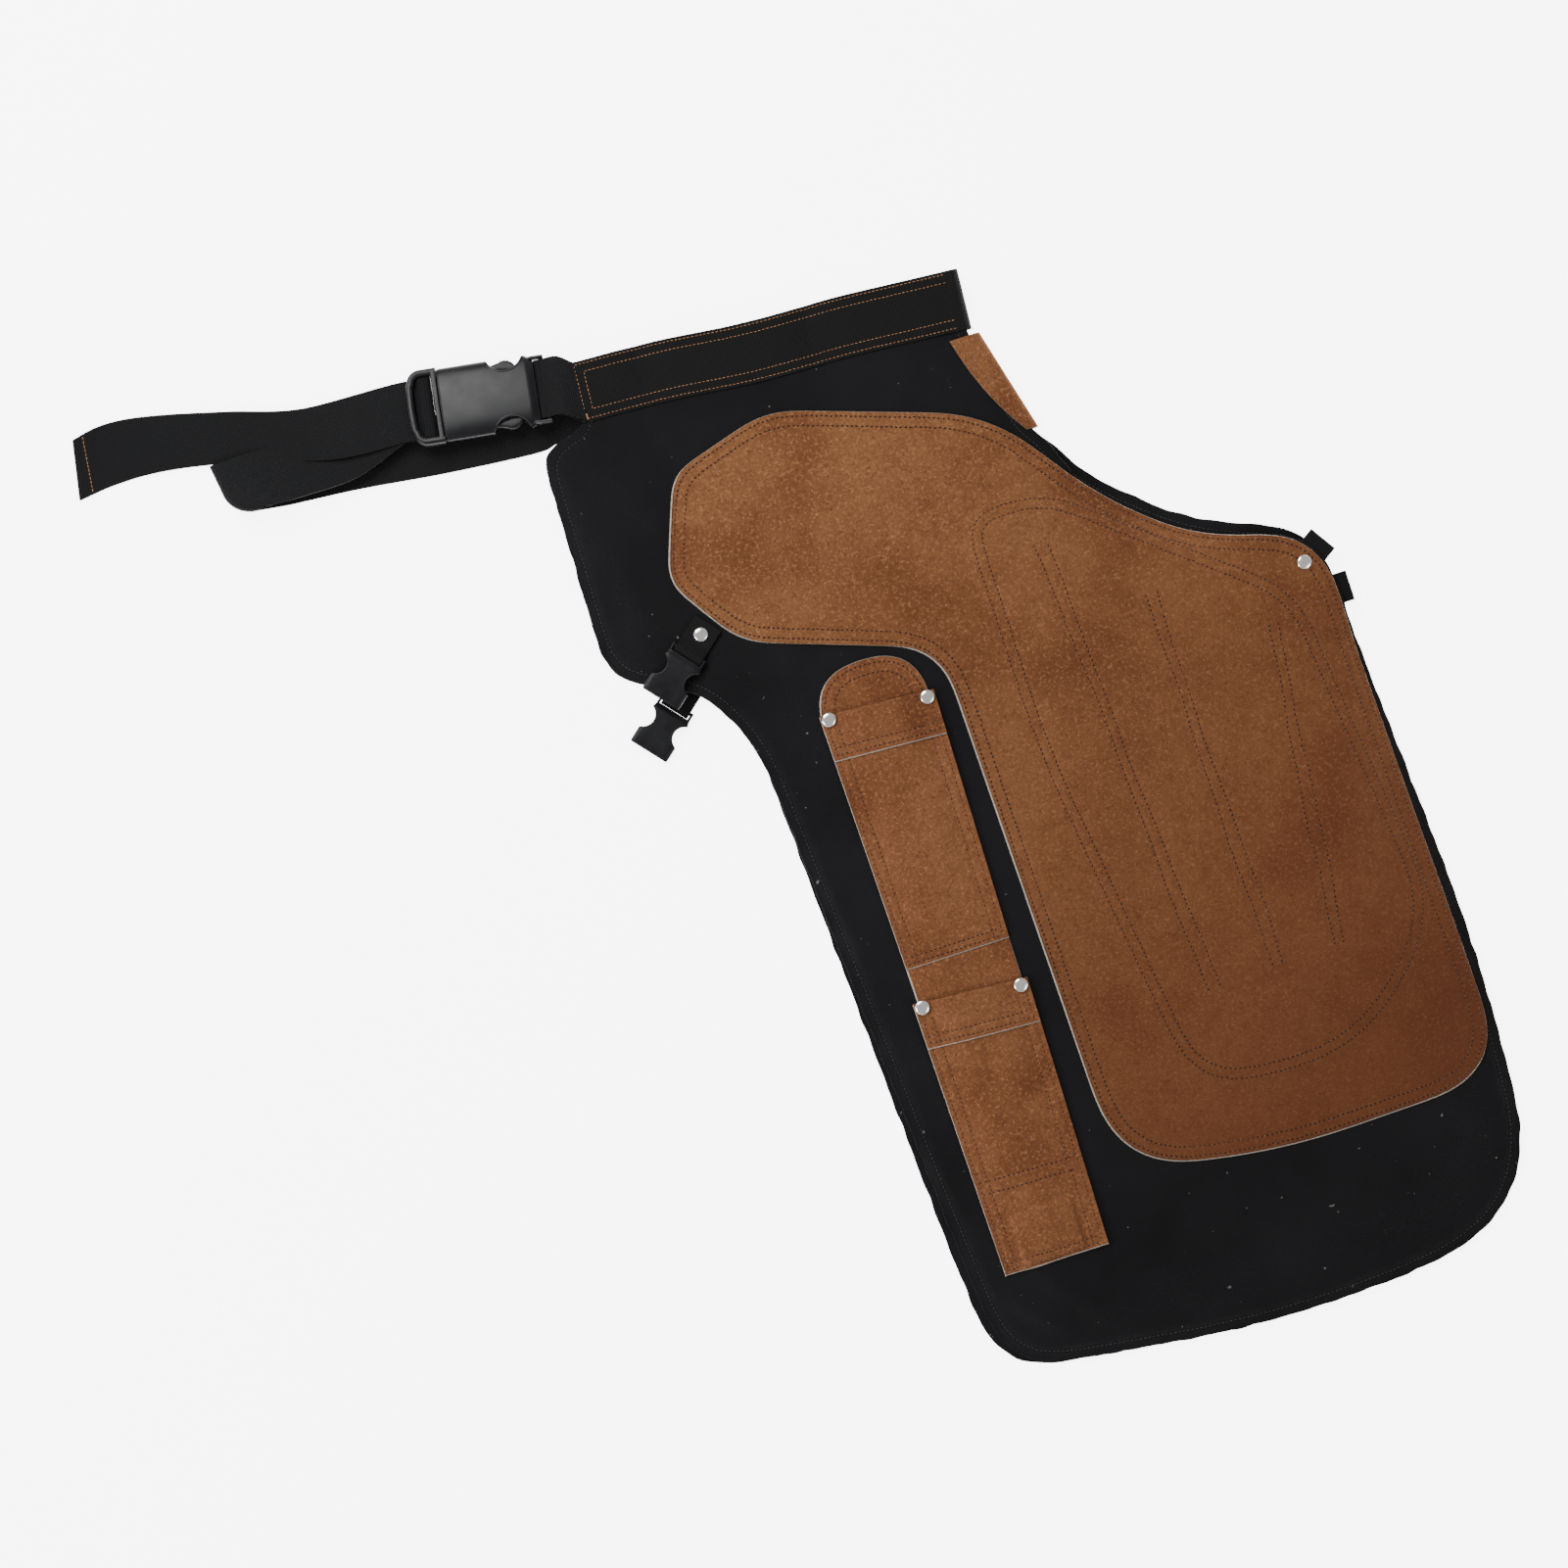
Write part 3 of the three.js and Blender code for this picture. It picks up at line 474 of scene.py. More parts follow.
def bare_object(name, points, faces):
    """A mesh object that is only a step towards a piece, so it rides on nothing."""
    made = bpy.data.objects.new(name, mesh_of(name, points, faces)[0])
    scene.collection.objects.link(made)
    return made


def piece(name, points, faces, body, materials, stands_for=(), face_material=None,
          uv=None, sharp=None):
    """A visible piece of the apron. face_material gives each face's place in materials, uv
    each point's place on the strap, and edges between points of one sharp number are hard."""
    mesh, corners = mesh_of(name, points, faces)
    mesh.polygons.foreach_set("use_smooth", np.ones(len(mesh.polygons), bool))
    for finish in materials:
        mesh.materials.append(finish)
    if face_material is not None:
        mesh.polygons.foreach_set("material_index", face_material.astype(np.int32))
    if uv is not None:
        layer = mesh.uv_layers.new(name="strap")
        layer.data.foreach_set("uv", np.asarray(uv, np.float32)[corners].ravel())
    if sharp is not None:
        ends = np.empty(len(mesh.edges) * 2, np.int32)
        mesh.edges.foreach_get("vertices", ends)
        ends = ends.reshape(-1, 2)
        hard = (sharp[ends[:, 0]] > 0) & (sharp[ends[:, 0]] == sharp[ends[:, 1]])
        edge_flags = mesh.attributes.new("sharp_edge", "BOOLEAN", "EDGE")
        edge_flags.data.foreach_set("value", hard)
    mesh.update()
    made = bpy.data.objects.new(name, mesh)
    scene.collection.objects.link(made)
    if body:
        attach(made, body)
    if stands_for:
        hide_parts(*stands_for)
    return made


def grid_faces(rows, columns, start=0, closed=False):
    """Quads of a grid whose point (i, j) is number start + i * columns + j."""
    i = np.arange(rows - 1)[:, None]
    j = np.arange(columns if closed else columns - 1)[None, :]
    right = (j + 1) % columns
    return np.stack(np.broadcast_arrays(
        start + i * columns + j, start + i * columns + right,
        start + (i + 1) * columns + right, start + (i + 1) * columns + j), -1).reshape(-1, 4)


def mesh_arrays(mesh):
    """A mesh's points and its triangles, as arrays."""
    co = np.empty(len(mesh.vertices) * 3)
    mesh.vertices.foreach_get("co", co)
    mesh.calc_loop_triangles()
    tris = np.empty(len(mesh.loop_triangles) * 3, np.int32)
    mesh.loop_triangles.foreach_get("vertices", tris)
    return co.reshape(-1, 3), tris.reshape(-1, 3)


print("mesh helpers ready")

# %% [markdown]
# A flat piece's cutting line is read from its plain solid: the edges that only one upward
# triangle owns, walked end to end. Rivet holes make small loops, so the loop with the
# greatest area is the cutting line.

# %% Cutting lines
WELD = 2e-6
LEVEL = 1e-5


def enclosed(loop):
    """Area inside a loop, positive when it goes anticlockwise."""
    x, y = loop[:, 0], loop[:, 1]
    return 0.5 * np.sum(x * np.roll(y, -1) - y * np.roll(x, -1))


def run_along(path):
    """Length along a line of points, from 0 at its first."""
    return np.concatenate([[0], np.cumsum(np.linalg.norm(np.diff(path, axis=0), axis=1))])


def at_lengths(path, at):
    """Points of the line at given lengths along it."""
    run = run_along(path)
    return np.stack([np.interp(at, run, path[:, k]) for k in range(path.shape[1])], 1)


def cutting_line(name, samples, soften=2.0):
    """The outer loop of a node's upper face, anticlockwise, at even steps. soften is the
    width in samples of a running average that takes out the corners of its facets."""
    co, tris = mesh_arrays(NODES[name].data)
    keys, same = np.unique(np.round(co / WELD).astype(np.int64), axis=0, return_inverse=True)
    same = same.ravel()
    spots = np.zeros((len(keys), 3))
    spots[same] = co
    tris = same[tris]
    tris = tris[(spots[tris, 2] > spots[:, 2].max() - LEVEL).all(1)]
    edges = np.concatenate([tris[:, [0, 1]], tris[:, [1, 2]], tris[:, [2, 0]]])
    code = edges[:, 0] * len(keys) + edges[:, 1]
    back = edges[:, 1] * len(keys) + edges[:, 0]
    rim = edges[~np.isin(code, back)]
    follow = dict(zip(rim[:, 0].tolist(), rim[:, 1].tolist()))
    best, best_area = None, 0.0
    while follow:
        first = next(iter(follow))
        walk, at = [first], follow.pop(first)
        while at != first and at in follow:
            walk.append(at)
            at = follow.pop(at)
        area = enclosed(spots[walk])
        if abs(area) > abs(best_area):
            best, best_area = spots[walk, :2], area
    if best_area < 0:
        best = best[::-1]
    return even_loop(best, samples, soften)


def even_loop(loop, samples, soften=0.0):
    """A closed loop at even steps of length, smoothed by a Gaussian of soften samples."""
    around = np.vstack([loop, loop[:1]])
    made = at_lengths(around, np.linspace(0, run_along(around)[-1], samples, endpoint=False))
    if soften > 0:
        reach = int(3 * soften) + 1
        weights = np.exp(-0.5 * (np.arange(-reach, reach + 1) / soften) ** 2)
        weights /= weights.sum()
        made = sum(w * np.roll(made, k, 0) for k, w in zip(range(-reach, reach + 1), weights))
    return made


def outward(loop):
    """Unit normals of an anticlockwise loop, pointing out of it."""
    along = np.roll(loop, -1, 0) - np.roll(loop, 1, 0)
    along /= np.linalg.norm(along, axis=1)[:, None]
    return np.stack([along[:, 1], -along[:, 0]], 1)


BATCH = 4000


def depth_inside(xy, loop):
    """Distance from each point to a loop's nearest edge, positive inside it: the nearest
    point of every edge by projection, and inside by counting crossings."""
    a, b = loop, np.roll(loop, -1, 0)
    ab = b - a
    length2 = (ab ** 2).sum(1)
    rise = np.where(np.abs(ab[:, 1]) < 1e-12, 1e-12, ab[:, 1])
    flat = np.asarray(xy).reshape(-1, 2)
    found = np.empty(len(flat))
    for start in range(0, len(flat), BATCH):
        p = flat[start:start + BATCH, None, :]
        t = np.clip(((p - a) * ab).sum(-1) / length2, 0, 1)
        gap = p - a - t[..., None] * ab
        near = np.sqrt((gap ** 2).sum(-1)).min(1)
        crossing = ((a[:, 1] > p[..., 1]) != (b[:, 1] > p[..., 1])) & (
            p[..., 0] < ab[:, 0] * (p[..., 1] - a[:, 1]) / rise + a[:, 0])
        found[start:start + BATCH] = np.where(crossing.sum(1) % 2 == 1, near, -near)
    return found.reshape(np.asarray(xy).shape[:-1])


PANEL_SAMPLES = 560
panel_line = {leg: cutting_line(f"{leg}_leg_panel", PANEL_SAMPLES) for leg in ("top", "under")}
patch_line = cutting_line("top_wear_patch", 600)
lining_line = cutting_line("top_patch_lining", 360)
backing_line = cutting_line("top_pocket_backing", 420, 0.8)
for label, loop in (("panel", panel_line["top"]), ("patch", patch_line), ("lining", lining_line)):
    steps = np.linalg.norm(np.roll(loop, -1, 0) - loop, axis=1)
    print(label, "cut round", round(steps.sum(), 3), "m")

# %% [markdown]
# Cloth rests on what is below it. Where nothing lies between the two legs their hems come
# down and lie on each other; over the buckles and straps, at the waist and at the fold,
# the top leg stays up. One height function says this for each leg, and every layer sewn
# to that leg adds its own small offset, so nothing sinks into anything else.

# %% Height of each leg's canvas
LEG_GAP = 8 * MM
OUTWARD = {"top": 1, "under": -1}
TOP_Z = MID_Z + LEG_GAP / 2 + CANVAS / 2
UNDER_Z = MID_Z - LEG_GAP / 2 - CANVAS / 2
PROPS = [((-300, -232), 52), ((205, -300), 75), ((12, -100), 100), ((-60, 0), 90),
         ((-200, 12), 90), ((-330, 20), 75)]


def smooth(t):
    """Eased step: 0 below 0, 1 above 1, 3t^2 - 2t^3 between."""
    t = np.clip(t, 0, 1)
    return t * t * (3 - 2 * t)


def looseness(xy):
    """1 where the hem can fall, 0 near something that holds the leg up."""
    p = to_pattern(xy)
    free = np.ones(p.shape[:-1])
    for (x, y), reach in PROPS:
        away = np.hypot(p[..., 0] - x, p[..., 1] - y)
        free = np.minimum(free, smooth((away - 0.45 * reach) / reach))
    return free


def ridge(xy, start, end, height, width):
    """A fold: a rounded ridge of a given height and half width from start to end, which
    dies away at both ends; the points are on the pattern."""
    p = to_pattern(xy)
    a, b = np.array(start, float), np.array(end, float)
    along = b - a
    t = ((p - a) @ along) / (along @ along)
    side = (p - a) @ np.array([-along[1], along[0]]) / np.linalg.norm(along)
    return height * MM * np.exp(-(side / width) ** 2) * smooth(t / 0.35) * smooth((1 - t) / 0.35)


FOLDS = [((-232, -742), (-128, -880), 2.6, 9), ((-238, -792), (-170, -872), 2.2, 7),
         ((-120, -800), (-40, -893), 1.6, 12), ((-258, -640), (-228, -760), 1.5, 9),
         ((-352, -60), (-330, -210), 1.8, 12), ((-300, -60), (-290, -190), 1.2, 14),
         ((60, -780), (130, -880), 1.4, 16), ((150, -770), (215, -850), 1.5, 14),
         ((-262, -400), (-240, -560), 1.3, 10), ((-340, 0), (-200, -40), 0.8, 12)]


# Waves of handled cloth: height in mm, turn per metre across and up, and phase.
WAVES = ((0.45, 27, 11, 1.0), (0.40, -17, 31, 2.1), (0.28, 52, -23, 0.4), (0.22, 38, 61, 3.3))


def ripple(xy):
    """Slow unevenness of cloth that has been handled: four crossed sines."""
    p = to_pattern(xy) / 1000
    x, y = p[..., 0], p[..., 1]
    return MM * sum(size * np.sin(a * x + b * y + phase) for size, a, b, phase in WAVES)


# How a loose hem falls: so many mm, over so many mm from its edge.
FALLS = {"top": ((8.6, 80), (3.6, 15)), "under": ((3.6, 50), (2.3, 14))}


def panel_height(xy, leg, depth=None):
    """Middle of a leg's canvas: its level, less the fall towards a loose hem, plus folds."""
    if depth is None:
        depth = depth_inside(xy, panel_line[leg][::3])
    free = looseness(xy)
    fall = sum(drop * (1 - smooth(depth / (over * MM))) for drop, over in FALLS[leg])
    if leg == "under":
        patched = smooth(depth_inside(xy, patch_line[::4]) / (10 * MM) + 1)
        return np.maximum(UNDER_Z - free * fall * MM,
                          (0.8 + 2.0 * patched) * MM + lining_lift(xy) * patched)
    made = TOP_Z - free * fall * MM + ripple(xy) * smooth(depth / (30 * MM)) * 0.8
    for fold in FOLDS:
        made = made + ridge(xy, *fold)
    return made


def lining_lift(xy):
    """How far the quilted second layer lifts the patch over the canvas."""
    return (SUEDE + 0.3 * MM) * smooth((depth_inside(xy, lining_line[::3]) + 6 * MM) / (12 * MM))


CHANNELS = [((-5, -239), (17, -627)), ((67, -302), (73, -624)), ((155, -357), (125, -624))]
CHANNEL_GAP, CHANNEL_SOFT, CHANNEL_DEEP = 8.8, 3.2, 0.75


def channel_dent(xy):
    """The quilting pulls the patch down along each sewn channel and puffs it between."""
    p = to_pattern(xy)
    made = np.zeros(p.shape[:-1])
    for start, end in CHANNELS:
        a, b = np.array(start, float), np.array(end, float)
        along = (b - a) / np.linalg.norm(b - a)
        far = (p - a) @ along
        side = (p - a) @ np.array([-along[1], along[0]])
        inside = smooth(far / 12) * smooth((np.linalg.norm(b - a) - far) / 12)
        made += inside * np.exp(-((np.abs(side) - CHANNEL_GAP / 2) / CHANNEL_SOFT) ** 2)
    return -CHANNEL_DEEP * MM * made


def row_dent(depth, rows, width=2.6, deep=0.5):
    """A shallow valley along each stitch row, given its distance from the edge in mm."""
    return -deep * MM * sum(np.exp(-((depth / MM - row) / width) ** 2) for row in rows)


PATCH_ROWS = (4.2, 12.2)
LINING_ROWS = (3.5, 11.5)


def patch_height(xy, leg="top", depth=None):
    """Middle of the wear patch on a leg; on the under leg it hangs below the canvas."""
    base = panel_height(xy, leg)
    lift = CANVAS / 2 + 0.25 * MM + SUEDE / 2 + lining_lift(xy)
    if leg == "top":
        if depth is None:
            depth = depth_inside(xy, patch_line[::3])
        lift = lift + channel_dent(xy) + row_dent(depth, PATCH_ROWS)
        lift = lift + row_dent(depth_inside(xy, lining_line[::3]), LINING_ROWS, 3.0, 0.55)
        lift = lift + 1.3 * ripple(xy[..., ::-1] * 0.9)
        lift = np.maximum(lift, CANVAS / 2 + 0.2 * MM + SUEDE / 2)
    return base + OUTWARD[leg] * lift


def layer_height(xy, leg, gap):
    """Middle of a suede layer that lies on a leg's canvas, a small gap away from it."""
    return panel_height(xy, leg) + OUTWARD[leg] * (CANVAS / 2 + gap + SUEDE / 2)


print("top canvas at", round(TOP_Z * 1000, 2), "under canvas at", round(UNDER_Z * 1000, 2), "mm")

# %% [markdown]
# A leaf is any flat piece cut to a closed line. Its surface is a grid of rings: ring by
# ring the cutting line shrinks towards one inner point, with close rings at the edge where
# the hem and the seams are. The height function bends it. Both faces share the same grid,
# and a narrow slanted band joins them as the cut edge.

# %% Leaf: a flat piece in rings


def leaf(name, loop, hub, height, thickness, edge_rings, rings, slant, materials, body,
         stands_for):
    """P(ring, around) = hub + f * (loop - hub), where f runs from 1 at the edge to 0 at the
    hub; near the edge f is set so that each ring lies a wanted distance inside the line.
    z is height(P) plus or minus half the thickness. slant is how far the upper face stops
    short of the cutting line."""
    hub = np.asarray(hub, float)
    spoke = loop - hub
    reach = np.linalg.norm(spoke, axis=1)
    facing = np.clip((spoke / reach[:, None] * outward(loop)).sum(1), 0.3, 1)
    near = 1 - np.array(edge_rings)[:, None] * MM / (facing * reach)
    inner = near[-1] * np.linspace(1, 0, rings, endpoint=False)[1:, None]
    share = np.vstack([near, inner])
    flat = hub + share[..., None] * spoke
    top = flat.copy()
    top[0] = loop - outward(loop) * np.reshape(slant, (-1, 1))
    count, around = share.shape

    def raise_to(grid, offset):
        z = height(grid) + offset
        return np.concatenate([grid, z[..., None]], -1).reshape(-1, 3)

    hub_z = float(height(hub[None, :])[0])
    points = np.vstack([raise_to(top, thickness / 2), [[*hub, hub_z + thickness / 2]],
                        raise_to(flat, -thickness / 2), [[*hub, hub_z - thickness / 2]]])
    under = count * around + 1
    upper_faces = grid_faces(count, around, 0, True)
    lower_faces = grid_faces(count, around, under, True)[:, ::-1]
    j = np.arange(around)
    right = (j + 1) % around
    last = (count - 1) * around
    fan = np.stack([last + j, last + right, np.full(around, count * around)], 1)
    under_fan = np.stack([under + last + right, under + last + j,
                          np.full(around, under + count * around)], 1)
    band = np.stack([under + j, under + right, right, j], 1)
    faces = [upper_faces, lower_faces, band, fan, under_fan]
    finish = np.concatenate([np.full(len(f), 1 if f is band else 0) for f in faces])
    sharp = np.zeros(len(points), int)
    sharp[:around] = 1
    sharp[under:under + around] = 2
    return piece(name, points, faces, body, materials, stands_for, finish, sharp=sharp)


def crinkled(loop, height, wave, seed=3):
    """The same line, let out and taken in a little as a gathered hem is."""
    steps = np.arange(len(loop)) / len(loop)
    rng = np.random.default_rng(seed)
    made = np.zeros(len(loop))
    for k in range(6):
        turns = round(wave * (0.6 + 0.25 * k))
        made += rng.uniform(0.4, 1.0) * np.sin(2 * np.pi * turns * steps + rng.uniform(0, 6.28))
    return loop + outward(loop) * (height * MM * made / 3)[:, None]


def edge_slant(loop, wide=1.5, narrow=0.4):
    """Width of the visible cut edge: wide where it faces down the leg and to the left."""
    out = outward(loop)
    toward = out @ np.array([-0.75, -0.66])
    return (narrow + (wide - narrow) * smooth((toward + 0.45) / 1.0)) * MM


PANEL_HUB = on_pattern((-60, -335))
PATCH_HUB = on_pattern((-20, -312))
LINING_HUB = on_pattern((40, -440))
HEM_ROW = 8.0
SWELLS = ((0.5, 46, 0.0), (0.35, 71, 1.2), (0.4, 29, 2.0))


def hemmed(leg):
    """Canvas height with its turned hem: doubled outside the stitch row, drawn in along it,
    and waved as gathered cloth is."""
    line = panel_line[leg][::3]

    def height(xy):
        depth = depth_inside(xy, line)
        p = to_pattern(xy)
        base = panel_height(xy, leg, depth)
        free = looseness(xy)
        near = np.exp(-np.clip(depth / MM, 0, None) / 13)
        spin = np.arctan2(p[..., 1] + 335, p[..., 0] + 60)
        swell = sum(size * np.sin(turns * spin + phase) for size, turns, phase in SWELLS)
        ease = 0.9 if leg == "top" else 0.25
        fold = 0.55 * MM * (1 - smooth((depth / MM - HEM_ROW + 0.6) / 1.2))
        seam = row_dent(depth, (HEM_ROW,), 1.3, 0.35)
        made = base + ease * MM * swell * near * free
        return made + (fold + seam if leg == "top" else fold * 0.3)
    return height


EDGE_RINGS = (0, 0.8, 2, 3.6, 5.2, 6.4, 7.3, 8.0, 8.7, 9.6, 11, 13, 16, 20, 25, 31)
panels = {}
for leg in ("top", "under"):
    rough_line = crinkled(panel_line[leg], 0.8, 70, 3 if leg == "top" else 8)
    panels[leg] = leaf(f"{leg}_leg_canvas", rough_line, PANEL_HUB, hemmed(leg), CANVAS,
                       EDGE_RINGS, 62 if leg == "top" else 40, 0.25 * MM,
                       [BLACK_CANVAS, BLACK_CANVAS], "root", [f"{leg}_leg_panel"])
    print(panels[leg].name, len(panels[leg].data.polygons), "faces")

# %% [markdown]
# The wear patch is the same kind of leaf in suede. Its cut edge shows as a pale line where
# it faces down and left, because split leather is cut at a slight slant. The lining below
# is hidden; it is made simply, so that every layer is there.

# %% Wear patches and linings
PATCH_RINGS = (0, 1.2, 2.6, 4.2, 5.8, 8, 10.4, 12.2, 14, 17, 21)
patches, linings = {}, {}
for leg in ("top", "under"):
    patches[leg] = leaf(f"{leg}_wear_suede", patch_line, PATCH_HUB,
                        lambda xy, leg=leg: patch_height(xy, leg), SUEDE,
                        PATCH_RINGS, 68 if leg == "top" else 24, edge_slant(patch_line),
                        [THIGH_SUEDE, SUEDE_EDGE], "root", [f"{leg}_wear_patch"])
    linings[leg] = leaf(f"{leg}_lining_suede", lining_line, LINING_HUB,
                        lambda xy, leg=leg: layer_height(xy, leg, 0.1 * MM), SUEDE * 0.8,
                        (0, 2, 8), 14, 0.2 * MM, [LINING_SUEDE, SUEDE_EDGE], "root",
                        [f"{leg}_patch_lining"])
    print(patches[leg].name, len(patches[leg].data.polygons), "faces")

# %% [markdown]
# The tool pockets are sewn on a long backing strip with a round top. A pocket front is one
# sheet: up from its closed end, over a soft fold at the mouth, and down again as the cuff,
# whose raw edge shows below two stitch rows. Between its side seams it stands away from
# the backing, so that a hand can open it. A flat magnet is sewn into the lowest end.

# %% Pockets
POCKET_MIDDLE, POCKET_WIDTH, POCKET_SEAM, CUFF = -173, 96, 14, 38
POCKETS = {"upper": {"mouth": -318, "length": 215, "sealed": 8},
           "lower": {"mouth": -565, "length": 231, "sealed": 82}}
SLANT, TAPER = 7, 0.08
RISE = {"top": 4.2, "under": 0.0}
SIDE_ROWS, CUFF_ROWS, END_ROWS, MAGNET_ROWS = (4.5, 12.5), (4.5, 11), (4.0, 9.5), (153, 163)
MAGNET = {"width": 50, "length": 40, "up": 30, "bump": 2.7}
MAGNET_DOWN = POCKETS["lower"]["length"] - MAGNET["up"] + 5
MAGNET_THICK = 2.4 * MM


def backing_height(xy, leg):
    return layer_height(xy, leg, 0.2 * MM)


def pocket_point(which, s, d):
    """Pattern place of a pocket point: s is 0 to 1 across, d millimetres below the mouth."""
    spec = POCKETS[which]
    down = d / spec["length"]
    x = POCKET_MIDDLE + (s - 0.5) * POCKET_WIDTH * (1 - TAPER * down)
    y = spec["mouth"] + SLANT * (0.5 - s) * (1 - down) - d
    return np.stack(np.broadcast_arrays(x, y), -1)


def pocket_lift(which, leg, s, d):
    """How far the front stands off the backing, in millimetres: an arch between the side
    seams, open at the mouth and closed lower down, and a flat-topped bump on the magnet."""
    spec = POCKETS[which]
    open_to = spec["length"] - spec["sealed"]
    across = np.minimum(s, 1 - s) * POCKET_WIDTH - POCKET_SEAM
    arch = np.sin(0.5 * np.pi * np.clip(across / 20, 0, 1)) ** 1.4
    shut = np.clip((open_to - d) / open_to, 0, 1) ** 0.6
    made = RISE[leg] * arch * shut * (0.55 + 0.45 * np.exp(-(d / 60.0) ** 2))
    if which == "lower":
        out_x = np.abs(s - 0.5) * POCKET_WIDTH * 0.94 - MAGNET["width"] / 2
        out_y = np.abs(d - MAGNET_DOWN) - MAGNET["length"] / 2
        in_x, in_y = smooth((2.2 - out_x) / 3), smooth((2.2 - out_y) / 3)
        groove = np.exp(-((np.maximum(out_x, out_y) - 4) / 2.6) ** 2)
        made = np.maximum(made, MAGNET["bump"] * in_x * in_y) - 0.9 * groove
    return made


def pocket_front(which, leg):
    """A sheet along the path closed end - mouth fold - cuff edge, times its width. The path
    gives how far below the mouth and how high above the front each point lies."""
    fold = SUEDE / 2 + 0.1 * MM
    front = np.linspace(POCKETS[which]["length"], 0.9, 150)
    turn = np.linspace(-np.pi / 2, np.pi / 2, 9)[1:-1]
    cuff = np.linspace(0.9, CUFF, 36)
    down = np.concatenate([front, 0.9 - np.cos(turn) * fold / MM, cuff])
    up = np.concatenate([np.zeros(len(front)), fold * (1 + np.sin(turn)),
                         np.full(len(cuff), 2 * fold)])
    s = np.concatenate([[0, 0.008], np.linspace(0.03, 0.97, 58), [0.992, 1]])
    d_grid, s_grid = np.meshgrid(down, s, indexing="ij")
    clear_d = np.clip(d_grid, 0, None)
    xy = on_pattern(pocket_point(which, s_grid, d_grid))
    side_rows = np.minimum(s_grid, 1 - s_grid) * POCKET_WIDTH
    dents = row_dent(side_rows * MM, SIDE_ROWS, 2.2, 0.6)
    is_cuff = (np.arange(len(down)) >= len(front) + len(turn))[:, None]
    dents = dents + np.where(is_cuff, row_dent((CUFF - d_grid) * MM, CUFF_ROWS, 2.0, 0.35), 0)
    sag = 0.35 * MM * np.sin(9 * s_grid + d_grid / 17 + (1 if which == "upper" else 4))
    flare = np.where(is_cuff, 0.5 * MM * smooth((d_grid - CUFF + 10) / 10)
                     * smooth(side_rows / 16), 0)
    lift = pocket_lift(which, leg, s_grid, clear_d) * MM
    height = (SUEDE / 2 + 0.2 * MM + SUEDE / 2 + lift + up[:, None] + dents
              + (sag * smooth(side_rows / 14) + flare if leg == "top" else 0))
    if leg == "under":
        height = SUEDE / 2 + 0.1 * MM + SUEDE / 2 + lift + np.where(is_cuff, SUEDE * 0.5, 0) * 0.4
    middle = backing_height(xy, leg) + OUTWARD[leg] * height
    co = np.concatenate([xy, middle[..., None]], -1)
    cuff_face, front_side = np.zeros(co.shape), np.zeros(co.shape)
    cuff_face[-1, :, 1] = 1.0 * MM
    front_side[0, :, 1] = 1.0 * MM
    inward = co[:, 2] - co[:, 0]
    inward = inward / np.linalg.norm(inward, axis=1)[:, None] * 0.6 * MM
    cuff_face[len(front):, 0] += inward[len(front):]
    front_side[:len(front), 0] = inward[:len(front)]
    return thicken(f"{leg}_{which}_pocket_suede", co, SUEDE * (0.92 if leg == "top" else 0.45),
                   [POCKET_SUEDE, SUEDE_EDGE], "root", [f"{leg}_{which}_pocket"],
                   slants=(cuff_face, front_side))


def grid_normals(co):
    """Unit normals of a grid of points: the cross product of its two directions."""
    normal = np.cross(np.gradient(co, axis=0), np.gradient(co, axis=1))
    return normal / np.maximum(np.linalg.norm(normal, axis=-1), 1e-12)[..., None]


def thicken(name, co, thickness, materials, body, stands_for, uv=None, slants=(0, 0)):
    """A closed sheet: the grid moved half the thickness out along its normals on each side,
    its four borders joined by bands that take the second material. slants moves the points
    of each side, so that a cut edge leans and shows."""
    rows, columns = co.shape[:2]
    normal = grid_normals(co)
    points = np.vstack([(co + normal * thickness / 2 + slants[0]).reshape(-1, 3),
                        (co - normal * thickness / 2 + slants[1]).reshape(-1, 3)])
    half = rows * columns
    upper = grid_faces(rows, columns)
    lower = grid_faces(rows, columns, half)[:, ::-1]
    number = np.arange(half).reshape(rows, columns)
    rim = np.concatenate([number[0, :], number[1:, -1], number[-1, -2::-1], number[-2:0:-1, 0]])
    after = np.roll(rim, -1)
    band = np.stack([after, rim, rim + half, after + half], 1)
    faces = [upper, lower, band]
    finish = np.concatenate([np.zeros(len(upper) + len(lower)), np.ones(len(band))])
    sharp = np.zeros(2 * half, int)
    sharp[rim] = 1
    sharp[rim + half] = 2
    if uv is not None:
        uv = np.vstack([uv.reshape(-1, 2)] * 2)
    return piece(name, points, faces, body, materials, stands_for, finish, uv, sharp)


